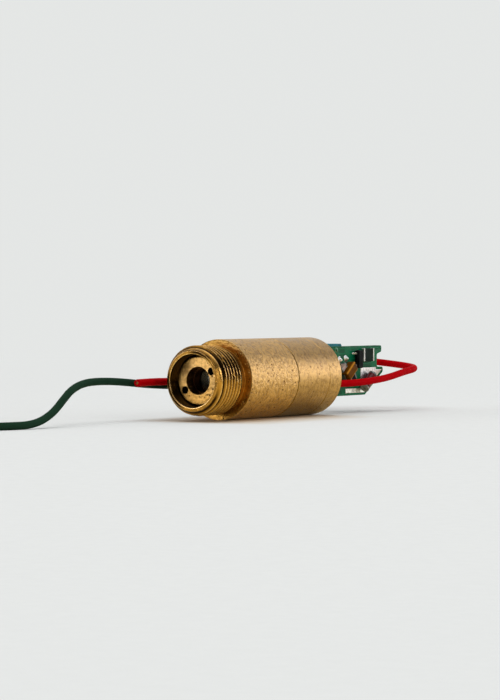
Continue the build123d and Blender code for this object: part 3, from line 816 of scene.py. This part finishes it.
class LASER_OT_leads(bpy.types.Operator):
    """Adds the red and the black lead with their bare ends"""
    bl_idname = "laser.leads"
    bl_label = "Leads"

    def execute(self, context):
        sizes = context.scene.laser_leads
        core = sizes.core / MM / 2
        tinned = solder_finish("tinned strands", context.scene.laser_board.solder, 0.24)
        copper = solder_finish("bare copper", sizes.copper, 0.3)
        red = lead_curve("red_supply_lead", RED_ROUTE, sizes.diameter)
        red_look = insulation("red insulation", sizes.red, 0.5)
        placed(red, red_look, replaced=("red_lead",))
        black = lead_curve("black_supply_lead", BLACK_ROUTE, sizes.diameter)
        black_look = insulation("black insulation", sizes.black, 0.5)
        placed(black, black_look, replaced=("black_lead",))
        red_in = seated(np.zeros(3), 1, RED_JOINT, height=core + CORE_LIFT)
        black_in = seated(np.zeros(3), -1, BLACK_JOINT, height=core + CORE_LIFT)
        red_core = finished("red_solder_end", *twisted_core(RED_ROUTE[0], red_in, core))
        placed(red_core, tinned, replaced=("red_lead_core",))
        black_ends = gathered([
            twisted_core(BLACK_ROUTE[0], black_in, core),
            twisted_core(BLACK_ROUTE[-1], beyond(BLACK_ROUTE, TINNED_TIP), core),
        ])
        black_core = finished("black_solder_end", *black_ends)
        placed(black_core, tinned, replaced=("black_lead_core",))
        inside, proud, loose = 0.4, 0.05, 0.9
        cut_end = twisted_core(beyond(RED_ROUTE, -inside), beyond(RED_ROUTE, proud), core * loose)
        stub = finished("red_cut_end", *cut_end)
        placed(stub, copper)
        return {"FINISHED"}


def in_millimetres(settings):
    """The lengths of a property group in millimetres."""
    values = {name: getattr(settings, name) for name in type(settings).__annotations__}
    return SimpleNamespace(**{
        name: value / MM for name, value in values.items() if isinstance(value, float)
    })


def lobe(angle, centre, steep, start):
    """1 round one angle and 0 away from it: steep times the cosine of the angle from the centre,
    less start, held inside 0 to 1. Angles run from +X, the right from in front, to +Z, the top."""
    return np.clip(steep * np.cos(angle - centre) - start, 0, 1)


def face_patches(angle):
    """Darker patches round the nose's face: a wide one at the left and a narrow one near the top."""
    return 0.65 * lobe(angle, 3.58, 4, 2.6) + 0.6 * lobe(angle, 1.26, 8, 7)


def nose_outside(b, angle):
    """The nose from its relief to its face. The radius is the least of the crest, the chamfer's
    cone and the crest less the thread's depth times 1 - height, and where a product of sines of
    the angle and the place is large, the crests are nicked. Painted shade darkens the thread's
    roots, less where the chamfer cuts them and least at the right, and a painted dark reflection
    lies on the thread at the upper right; the chamfer gets the face's darker patches. Painted
    highlights lie on the crests, less on top."""
    nose, crest = b.nose_length, b.thread_radius
    s, phase = thread_rows(b.relief_length, nose, b.thread_pitch, NOSE_CREST)
    high = thread_height(phase)
    cone = b.nose_face_radius + (nose - s) * (crest - b.nose_face_radius) / b.nose_chamfer
    root_lap, nick_depth = 0.09, 0.1
    r = np.minimum(crest, cone - root_lap * (1 - high))
    r = np.minimum(r, crest - b.thread_depth * (1 - high))
    nicks = np.sin(5 * angle + 3 * s) * np.sin(11 * angle - 7 * s) + 0.6 * np.sin(23 * angle + 5 * s)
    r = r - nick_depth * np.clip(nicks - 0.7, 0, 1) * (high > 0.9)
    points = np.stack([r * np.cos(angle), -s, r * np.sin(angle)], -1)
    cut_from, unshaded_from, highlight_to = nose - 0.8, nose - 0.1, nose - 0.2
    # Share of the roots' painted shade near the chamfer, least at the right and none at the face.
    painted_light = 0.9 * (1 - 0.8 * lobe(angle, 0.15, 4, 3)) * (s < unshaded_from)
    roots = (1 - high) * np.where(s < cut_from, 1, painted_light)
    # Painted dark reflection on the thread at the upper right.
    shaded = 0.5 * lobe(angle, 0.7, 3, 1.6)
    painted_shade_and_patches = np.maximum(roots, np.where(s > nose - b.nose_chamfer, face_patches(angle), shaded))
    # Painted highlights on the crests, less on top.
    painted_highlight = 0.5 * ((high > 0.99) & (s < highlight_to)) * (1 - 0.6 * lobe(angle, TURN / 4, 1, 0))
    return points[::-1], painted_shade_and_patches[::-1], painted_highlight[::-1]


def front_body(b, angle):
    """The front section from the relief over the shoulder and the body to its bores, as a rounded
    profile about the axis. Painted shade darkens the bores and the face of the joint behind, the
    shoulder is dull, and its outer edge is darker, but has a painted highlight underneath, as has
    the body's rear edge."""
    body, bore, relief, plain = b.body_radius, b.bore_radius, b.relief_radius, 0.1
    front_edge, shoulder_edges, rear_break, rear_face = (3,), (3, 4), (5,), (6, 7)
    profile = rounded([
        (-b.relief_length, b.thread_radius - 0.3 * b.thread_depth), (-b.relief_length, relief),
        (0, relief), (0, body - EDGE_BREAK), (EDGE_BREAK, body),
        (FRONT_END - END_BREAK, body), (FRONT_END, body - END_BREAK), (FRONT_END, SOCKET_RADIUS),
        (SOCKET_FLOOR, SOCKET_RADIUS), (SOCKET_FLOOR, TUNNEL_RADIUS), (BORE_FLOOR, TUNNEL_RADIUS),
        (BORE_FLOOR, bore), (2 * plain - BORE_THREAD_REAR, bore), (plain - BORE_THREAD_REAR, bore),
    ], b.edge_round, closed=False)
    y, out = profile[:, :1], profile[:, 1:]
    low = lobe(angle, -TURN / 4, 2, 1.2)
    shoulder = (y < 0.03) & (out > relief - 0.1) & (out < body - 0.2)
    # Painted shade in the bores and on the joint's face, the outer edge darker except underneath; the
    # shoulder's share only dulls it.
    painted_shade_and_patches = 1.0 * (out < bore + 0.1) + 0.15 * shoulder
    painted_shade_and_patches = painted_shade_and_patches + 0.55 * edge_rows(profile, front_edge) * (1 - low) + edge_rows(profile, rear_face)
    # Painted highlights on the shoulder's outer edge underneath and on the rear edge.
    painted_highlight = edge_rows(profile, shoulder_edges) * low + 0.8 * edge_rows(profile, rear_break)
    return about_axis(profile), painted_shade_and_patches, painted_highlight


def bore_thread(b, angle):
    """The thread in the nose's bore: its radius grows from the crests by the depth times
    1 - height, and falls to the bore's where the thread runs out behind the nose's face."""
    end, run_out = b.nose_length - 0.25, 0.12
    s, phase = thread_rows(BORE_THREAD_REAR, b.nose_length - 0.22, b.bore_pitch, BORE_CREST)
    high = thread_height(phase)
    r = b.bore_radius + b.bore_depth * (1 - high) * np.clip((end - s) / run_out, 0, 1)
    points = np.stack([r * np.cos(angle), -s, r * np.sin(angle)], -1)
    # Painted shade fills the bore, a little less on the crests.
    return points, 1 - 0.11 * high, np.zeros(s.shape)


def nose_lip(b, angle):
    """The nose's flat face with the bore's chamfer, as a rounded profile about the axis, with painted
    shade by the bore, the flat face a little darker, the same darker patches as the chamfer, and
    painted highlights on its edges elsewhere."""
    nose, bore, face = b.nose_length, b.bore_radius, b.nose_face_radius
    behind, lap, by_bore = 0.2, 0.02, 0.12
    profile = rounded([
        (behind - nose, bore), (-nose, bore + BORE_CHAMFER), (-nose, face), (lap - nose, face + lap),
    ], b.edge_round, closed=False)
    # Painted shade by the bore, and the flat face a little darker.
    darkening = 0.9 * (profile[:, 1:] < bore + by_bore)
    darkening[2 * CORNER_ROWS - 1:2 * CORNER_ROWS + 1] = 0.4
    darkened = face_patches(angle)
    return about_axis(profile), np.clip(darkening + darkened, 0, 1), edge_rows(profile, (1, 2)) * (1 - darkened)


class LASER_OT_front(bpy.types.Operator):
    """Adds the front section with its nose thread, chamfer, relief, shoulder and threaded bore"""
    bl_idname = "laser.front"
    bl_label = "Front section"

    def execute(self, context):
        colours = context.scene.laser_barrel
        b = in_millimetres(colours)
        angle = np.linspace(0, TURN, SEGMENTS + 1)[None, :]
        surfaces = [make(b, angle) for make in (nose_outside, front_body, bore_thread, nose_lip)]
        points, painted_shade_and_patches, painted_highlight = (np.concatenate(group) for group in zip(*surfaces))
        radius = np.hypot(points[..., 0], points[..., 2])
        within, ahead = 0.12, 0.02
        machined = (radius < b.body_radius - within) | (points[..., 1] < -ahead)
        piece = finished(
            "front_section", points.reshape(-1, 3), grid_faces(*points.shape[:2], True),
            {"painted_shade_and_patches": painted_shade_and_patches, "machined": machined, "painted_highlight": painted_highlight},
        )
        # under darkens the underside: painted shade.
        look = brass(
            "blasted brass", colours.blasted, colours.darkening, rough=0.36, grain=1.05, turning=0.10,
            pits=1.0, polished=colours.polished, under=0.84,
        )
        placed(piece, look, replaced=("front_barrel",))
        return {"FINISHED"}


class LASER_OT_barrel(bpy.types.Operator):
    """Adds the middle and rear sections"""
    bl_idname = "laser.barrel"
    bl_label = "Middle and rear sections"

    def execute(self, context):
        colours = context.scene.laser_barrel
        b = in_millimetres(colours)
        body = b.body_radius
        middle = turned_piece("middle_section", [
            (SPIGOT_FRONT, CHAMBER_RADIUS), (SPIGOT_FRONT, SPIGOT_RADIUS - SPIGOT_CHAMFER),
            (SPIGOT_FRONT + SPIGOT_CHAMFER, SPIGOT_RADIUS), (MIDDLE_STEP, SPIGOT_RADIUS),
            (MIDDLE_STEP, body - EDGE_BREAK), (MIDDLE_STEP + EDGE_BREAK, body),
            (MIDDLE_END - COLLAR_BREAK, body), (MIDDLE_END, body - COLLAR_BREAK_DEPTH),
            (MIDDLE_END, REAR_SOCKET_RADIUS),
            (FLANGE_REAR, REAR_SOCKET_RADIUS), (FLANGE_REAR, FLANGE_SEAT_RADIUS),
            (FLANGE_FRONT, FLANGE_SEAT_RADIUS), (FLANGE_FRONT, CAN_BORE_RADIUS),
            (CHAMBER_FLOOR, CAN_BORE_RADIUS), (CHAMBER_FLOOR, CHAMBER_RADIUS),
        ], b.edge_round)
        collar = turned_piece("rear_section", [
            (FLANGE_REAR, CAN_BORE_RADIUS), (FLANGE_REAR, REAR_SPIGOT_RADIUS - SPIGOT_CHAMFER),
            (FLANGE_REAR + SPIGOT_CHAMFER, REAR_SPIGOT_RADIUS), (COLLAR_STEP, REAR_SPIGOT_RADIUS),
            (COLLAR_STEP, body - COLLAR_BREAK), (COLLAR_STEP + COLLAR_BREAK, body),
            (REAR_RIM - RIM_BREAK, body),
            (REAR_RIM, body - RIM_BREAK), (REAR_RIM, COLLAR_BORE_RADIUS + RIM_BREAK),
            (REAR_RIM - RIM_BREAK, COLLAR_BORE_RADIUS), (COLLAR_FLOOR, COLLAR_BORE_RADIUS),
            (COLLAR_FLOOR, CAN_BORE_RADIUS),
        ], b.edge_round)
        # under darkens the underside of both sections: painted shade.
        look = brass(
            "turned brass", shade(colours.blasted, 0.86), colours.darkening, rough=0.34, grain=0.16,
            turning=0.22, pits=0.5, under=0.56,
        )
        placed(middle, look, replaced=("middle_barrel",))
        placed(collar, look, replaced=("rear_collar",))
        return {"FINISHED"}


def lens_surface():
    """The output lens, which rests on its cell's lip: its face is y = top + R - sqrt(R^2 - r^2),
    with a small bevel and a flat back."""
    def sunk(r):
        """How far the spherical face falls back at a radius."""
        return LENS_CURVE_RADIUS - np.sqrt(LENS_CURVE_RADIUS ** 2 - r ** 2)

    top = -LENS_SEAT - sunk(LENS_LIP_RADIUS)
    r = LENS_RADIUS * np.linspace(0, 1, 24)
    back = top + LENS_THICKNESS
    bevel = [(back - LENS_BEVEL, LENS_RADIUS), (back, LENS_RADIUS - LENS_BEVEL), (back, 0.0)]
    points = about_axis(np.concatenate([np.stack([top + sunk(r), r], -1), bevel]), SEGMENTS // 2)
    return points.reshape(-1, 3), grid_faces(*points.shape[:2])


class LASER_OT_optics(bpy.types.Operator):
    """Finishes the locking ring, the lens and the inner pieces"""
    bl_idname = "laser.optics"
    bl_label = "Ring, lens and inner pieces"

    def execute(self, context):
        b = context.scene.laser_barrel
        ring = dressed("lens_ring", "locking_ring", 0.04)
        # Painted shade at the ring's rim and behind its face.
        marked(ring, "darkened", ring_painted_shade)
        blasted = brass(
            "blasted ring", b.blasted, b.darkening, rough=0.34, grain=0.6, turning=0.1, pits=0.9,
            extra=ring_stains_and_shade,
        )
        placed(ring, blasted)
        coated = clear("coated lens", (0.95, 0.94, 0.92), 1.55, 0.18, Specular_IOR_Level=0.12)
        lens = finished("front_lens", *lens_surface())
        placed(lens, coated, replaced=("output_lens",))
        turned = brass(
            "inner brass", (0.20, 0.092, 0.042), shade(b.darkening, 0.4), rough=0.38, grain=0.2,
            turning=0.6, pits=0.1,
        )
        gold = solder_finish("gold plate", (0.86, 0.65, 0.32), 0.2)
        glass = clear("window glass", (0.95, 0.97, 0.96), 1.5)
        for nodes, look in (
            (("lens_cell", "lens_retainer", "expander_cell", "crystal_block"), turned),
            (("expander_lens", "diode_window"), glass),
            (("ir_filter",), clear("filter glass", (0.45, 0.75, 0.72), 1.52)),
            (("doubling_crystal",), clear("doubling crystal", (0.93, 0.93, 0.96), 1.78)),
            (("pump_crystal",), clear("pump crystal", (0.78, 0.66, 0.86), 1.95)),
            (("diode_header", "diode_pins"), gold),
            (("diode_cap",), solder_finish("plated steel", (0.66, 0.63, 0.56), 0.22)),
            (("diode_submount",), solder_finish("submount", (0.8, 0.55, 0.35), 0.25)),
            (("diode_chip",), moulded("emitting chip", (0.05, 0.05, 0.055), 0.2)),
        ):
            for name in nodes:
                finish_node(name, look)
        return {"FINISHED"}


def finish_node(name, material):
    """Puts a material on a carried-over CAD node."""
    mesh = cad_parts[name].data
    if mesh.materials:
        mesh.materials[0] = material
    else:
        mesh.materials.append(material)


class LASER_OT_board(bpy.types.Operator):
    """Adds the driver board, its tinned area and the trimmer"""
    bl_idname = "laser.board"
    bl_label = "Board and trimmer"

    def execute(self, context):
        c = context.scene.laser_board
        for node, name, edge, look, slot, body in (
            ("driver_board", "board", 0.04, board_finish("solder mask", c.mask, c.laminate),
             "board", "module"),
            ("tinned_pad", "tinned_area", 0.03, solder_finish("tinned area", c.solder, 0.34),
             "solder", "module"),
            ("trimmer_body", "trimmer_case", 0.06,
             moulded("trimmer case", c.trimmer, 0.4, Specular_IOR_Level=0.1),
             "trimmer_blue", "module"),
            ("trimmer_rotor", "trimmer_screw", 0.04, moulded("trimmer rotor", c.rotor, 0.42),
             "trimmer_white", "trimmer_rotor"),
            ("trimmer_legs", "trimmer_pins", 0.03,
             solder_finish("tinned legs", c.solder, 0.3, flux=FLUX_HEIGHT),
             "tinned_copper", "module"),
        ):
            placed(dressed(node, name, edge), look, body)
        return {"FINISHED"}


def chip_surfaces(size, edge, tabs=False):
    """Body and two metal ends of a two-ended chip, each as (points, faces). The ends are caps
    round the body, or with tabs, narrow strips low on its end faces."""
    long, wide, high = size
    gap, lap = 0.04, 0.05
    if tabs:
        thick = 0.24
        body_long = long - 0.14
        end_size, end_at, end_edge = (thick, 0.7 * wide, 0.56 * high), (long - thick) / 2, 0.05
    else:
        body_long = long - 2 * (TERMINAL - lap)
        end_size, end_at, end_edge = (TERMINAL, wide, high), (long - TERMINAL) / 2, edge
    body = box_at((0, 0, high / 2), (body_long, wide - gap, high - gap), edge)
    ends = [box_at((side * end_at, 0, end_size[2] / 2), end_size, end_edge) for side in (-1, 1)]
    return body, ends


def upper_edges(points, size):
    """1 along a chip's two long upper edges, where the ochre capacitor's highlight is painted, and 0
    away from them.
    """
    wide, fade = 0.26, 0.14
    out = np.clip((np.abs(points[:, 1]) - size[1] / 2 + wide) / fade, 0, 1)
    return out * np.clip((points[:, 2] - size[2] + wide) / fade, 0, 1)


def round_diode(tone):
    """Adds the round diode's glass, a rod with rounded ends, and gives its two metal caps."""
    seat = dict(side=1, place=(16.02, -1.25), turn=CHIP_TURN, height=0.83)
    glass_end, glass_radius, glass_round = 1.4, 0.73, 0.18
    cap_start, cap_end, cap_radius, cap_round = 1.38, 1.75, 0.75, 0.1
    points, faces = capped_rod((-glass_end, 0, 0), (glass_end, 0, 0), glass_radius, glass_round)
    glass = finished("round_glass_diode", seated(points, **seat), faces)
    look = moulded("red glass body", tone, 0.2, 0.003, 0.3, Specular_IOR_Level=0.2)
    placed(glass, look, replaced=("protection_diode",))
    caps = [capped_rod((start, 0, 0), (end, 0, 0), cap_radius, cap_round)
            for start, end in ((-cap_end, -cap_start), (cap_start, cap_end))]
    return [(seated(points, **seat), faces) for points, faces in caps]


class LASER_OT_chips(bpy.types.Operator):
    """Adds the chips, the round glass diode and the two moulded parts with their legs"""
    bl_idname = "laser.chips"
    bl_label = "Chips"

    def execute(self, context):
        c = context.scene.laser_board
        edge = c.edge / MM
        ochre = banded("ochre resin", c.tantalum, (0.10, 0.035, 0.004), c.painted_light, 0.38)
        ceramic = moulded("fired ceramic", c.ceramic, 0.45)
        epoxy = moulded("black epoxy", c.epoxy, 0.55, 0.012, 0.3, Specular_IOR_Level=0.03)
        glaze = moulded("resistor glaze", c.glaze, 0.45, 0.004, Specular_IOR_Level=0.03)
        metal, clean = [], []
        for node, name, place, size, turn, look, slot in (
            ("tantalum_capacitor", "ochre_capacitor", (10.17, 0.5), (3.2, 1.6, 1.4), CHIP_TURN,
             ochre, "tantalum"),
            ("chip_capacitor", "ceramic_capacitor", (8.67, 1.1), (1.6, 0.8, 0.8), CHIP_TURN,
             ceramic, "capacitor"),
            ("small_diode", "small_black_diode", (11.37, -0.65), (1.7, 1.1, 0.9), CHIP_TURN,
             epoxy, "black_epoxy"),
            ("chip_resistor", "flat_resistor", (16.62, 3.0), (3.2, 2.1, 0.6), 0.0,
             glaze, "black_epoxy"),
        ):
            tabs = slot == "tantalum"
            (points, faces), ends = chip_surfaces(size, edge * (2.6 if tabs else 1), tabs)
            marks = {"along": points[:, 0] / (size[0] / 2), "edges": upper_edges(points, size)}
            piece = finished(name, seated(points, 1, place, turn), faces, marks)
            placed(piece, look, replaced=(node,))
            metal += [(seated(end, 1, place, turn), group) for end, group in ends]
            clean += [len(end) * [float(node == "chip_resistor")] for end, _ in ends]
        for points, faces in round_diode(c.glass):
            metal.append((points, faces))
            clean.append(len(points) * [0.0])
        ends = finished("chip_ends", *gathered(metal), {"clean": np.concatenate(clean)})
        dull, bright = shade(c.solder, 0.3), shade(c.solder, 0.7)
        tinned = solder_finish("tinned chip ends", dull, 0.45, bright)
        placed(ends, tinned, replaced=("chip_terminals",))
        legs = solder_finish("tinned legs of the chips", c.solder, 0.26)
        for part in ("transistor", "driver_chip"):
            placed(dressed(part, f"{part}_body", 0.05), epoxy)
        for part in ("transistor", "driver_chip"):
            placed(dressed(f"{part}_legs", f"{part}_feet", 0.025, 1), legs)
        return {"FINISHED"}


class LASER_OT_solder(bpy.types.Operator):
    """Adds the solder on the legs and on the leads"""
    bl_idname = "laser.solder"
    bl_label = "Solder"

    def execute(self, context):
        leg, low_leg = (0.56, 0.5), (0.42, 0.16)
        pin, lead = (0.72, 0.62, (1.25, 1.0)), (0.85, 0.75, (1.15, 1.0))
        heaps = []
        for seed, shape, (side, place) in (
            (0, leg, (1, TRIMMER_LEGS[0])), (1, leg, (1, TRIMMER_LEGS[1])),
            (2, low_leg, (1, TRIMMER_LEGS[2])), (5, pin, DIODE_PINS[0]), (6, pin, DIODE_PINS[1]),
            (7, pin, DIODE_PINS[2]), (10, lead, (1, RED_JOINT)), (11, lead, (-1, BLACK_JOINT)),
        ):
            points, faces = solder_heap(*shape, seed=seed)
            heaps.append((seated(points, side, place), faces))
        piece = finished("solder_heaps", *gathered(heaps))
        tone = shade(context.scene.laser_board.solder, 1.2)
        look = solder_finish("solder", tone, 0.3, flux=FLUX_HEIGHT)
        placed(piece, look, replaced=("solder_joints",))
        return {"FINISHED"}


class LASER_OT_stage(bpy.types.Operator):
    """Adds the floor, the light and the background"""
    bl_idname = "laser.stage"
    bl_label = "Stage"

    def execute(self, context):
        settings = context.scene.laser_stage
        level = -context.scene.laser_barrel.body_radius / MM
        half = FLOOR_HALF / MM
        corners = [(x * half, y * half, level) for x, y in ((-1, -1), (1, -1), (1, 1), (-1, 1))]
        floor = finished("floor", corners, [(0, 1, 2, 3)])
        floor.data.materials.append(paper_finish(settings.paper))
        for name, source, share, place, size in LAMPS:
            soft_lamp(name, getattr(settings, source) * share, place, size)
        context.scene.world = studio_world(settings.paper)
        context.scene.view_settings.view_transform = "Standard"
        return {"FINISHED"}


def soft_lamp(name, power, place, size):
    """A large rectangular lamp that faces the module and that the camera doesn't see."""
    data = bpy.data.lights.new(name, "AREA")
    data.shape, data.size, data.size_y, data.energy = "RECTANGLE", *size, power
    lamp = bpy.data.objects.new(name, data)
    bpy.context.scene.collection.objects.link(lamp)
    lamp.location = place
    lamp.rotation_euler = (Vector(LAMP_AIM) - lamp.location).to_track_quat("-Z", "Y").to_euler()
    lamp.visible_camera = False


def paper_finish(tone):
    """Pale paper with faint fibres, with a painted warm shadow in streaks beside the barrel, which
    also stands in for the brass throwing its colour on it, and a painted shadow under the board.
    Reflections see it yellower and darker. Far from the object it turns into the background's own
    light, so no horizon shows."""
    f = Finish("paper", Roughness=0.9, Specular_IOR_Level=0.1)
    at = f.place()
    plain = f.ramp(f.noise(at, 0.8, 4.0), (0.3, shade(tone, 0.925)), (0.7, shade(tone, 0.955)))
    # Painted shadow under the board.
    (x, y), (wide, long) = (-3.04, 42.0), (16.0, 24.0)
    from_board = f.mapped(at, Location=(-x / wide, -y / long, 0), Scale=(1 / wide, 1 / long, 0))
    plain = f.mix(f.reach(f.distance(from_board), 0.2, 1.0, 0.3, 0.0), plain, (0.33, 0.33, 0.32))
    # Painted warm shadow and bounce of the brass's colour beside the barrel, in streaks.
    parts = f.node("SeparateXYZ", i0=at)
    aside = f.maths("ABSOLUTE", f.maths("SUBTRACT", parts.outputs["X"], 1.2))
    behind_nose = f.reach(parts.outputs["Y"], -10.0, -5.0)
    along = f.times(behind_nose, f.reach(parts.outputs["Y"], 20.0, 27.0, 1.0, 0.0))
    streaks = f.reach(f.noise(at, 0.5, 5.0, 0.65), 0.35, 0.62, 0.8, 1.0)
    warm = f.times(f.times(f.reach(aside, 1.0, 13.0, 0.9, 0.0), along), streaks)
    f.link(
        Base_Color=f.mix(warm, plain, (0.55, 0.37, 0.17)),
        Normal=f.relief(f.noise(at, 0.35, 3.0), 0.12),
    )
    glow = f.node("Emission", Color=(*tone, 1)).outputs[0]
    # Painted reflection: glossy rays see the floor yellower and darker.
    dim = f.node("BsdfDiffuse", Color=(0.86, 0.78, 0.48, 1)).outputs[0]
    glossy = f.ray("Glossy")
    near = f.node("MixShader", i0=glossy, i1=f.shader.outputs[0], i2=dim).outputs[0]
    seen = f.maths("MAXIMUM", f.maths("MAXIMUM", f.ray("Camera"), glossy), f.ray("Transmission"))
    far = f.times(f.reach(f.distance(at), 120.0, 420.0), seen)
    mixed = f.node("MixShader", i0=far, i1=near, i2=glow).outputs[0]
    f.lead(mixed, f.tree.nodes["Material Output"].inputs["Surface"])
    return f.material


def studio_world(paper):
    """The room: dark up to well above the horizon on the camera's side, grey behind the object
    and palest at its horizon, and bright overhead; the camera itself sees plain paper."""
    world = bpy.data.worlds.new("studio")
    world.use_nodes = True
    w = Nodes(world.node_tree)
    at = w.node("TexCoord").outputs["Generated"]
    height = w.node("SeparateXYZ", i0=at).outputs["Z"]
    front = w.node("VectorMath", {"operation": "DOT_PRODUCT"}, i0=at, i1=TOWARDS_CAMERA)
    near = w.ramp(height, (0.0, 0.04), (0.6, 0.06), (0.82, 0.7), (0.94, 1.95))
    behind = w.ramp(height, (0.0, 0.6), (0.12, 0.38), (0.65, 0.42), (0.92, 1.95))
    room = w.node("Background", Color=w.mix(w.reach(front.outputs["Value"], 0.2, 0.6), behind, near))
    white = w.node("Background", Color=(*paper, 1))
    shown = w.node("MixShader", i0=w.ray("Camera"), i1=room.outputs[0], i2=white.outputs[0])
    w.lead(shown.outputs[0], w.tree.nodes["World Output"].inputs["Surface"])
    return world


class LASER_PT_module(bpy.types.Panel):
    """Lists the pieces of the module"""
    bl_idname = "LASER_PT_module"
    bl_label = "Laser Diode Module"
    bl_space_type = "VIEW_3D"
    bl_region_type = "UI"
    bl_category = "Laser Module"

    def draw(self, context):
        for group in GROUPS:
            settings = getattr(context.scene, group)
            box = self.layout.box()
            box.label(text=GROUPS[group].__doc__)
            for name in GROUPS[group].__annotations__:
                box.prop(settings, name)
        for operator in PIECES:
            self.layout.operator(operator.bl_idname)


GROUPS = {
    "laser_barrel": LASER_PG_barrel, "laser_board": LASER_PG_board,
    "laser_leads": LASER_PG_leads, "laser_stage": LASER_PG_stage,
}
PIECES = (
    LASER_OT_camera, LASER_OT_leads, LASER_OT_front, LASER_OT_barrel, LASER_OT_optics,
    LASER_OT_board, LASER_OT_chips, LASER_OT_solder, LASER_OT_stage,
)


def register():
    """Registers the settings, the operators and the panel."""
    for kind in (*GROUPS.values(), *PIECES, LASER_PT_module):
        bpy.utils.register_class(kind)
    for name, kind in GROUPS.items():
        setattr(bpy.types.Scene, name, bpy.props.PointerProperty(type=kind))


def unregister():
    """Takes the settings, the operators and the panel out again."""
    for name in GROUPS:
        delattr(bpy.types.Scene, name)
    for kind in reversed((*GROUPS.values(), *PIECES, LASER_PT_module)):
        bpy.utils.unregister_class(kind)


def main():
    """Builds every piece in order."""
    register()
    for operator in PIECES:
        getattr(bpy.ops.laser, operator.bl_idname.split(".")[1])()


if __name__ == "__main__":
    main()
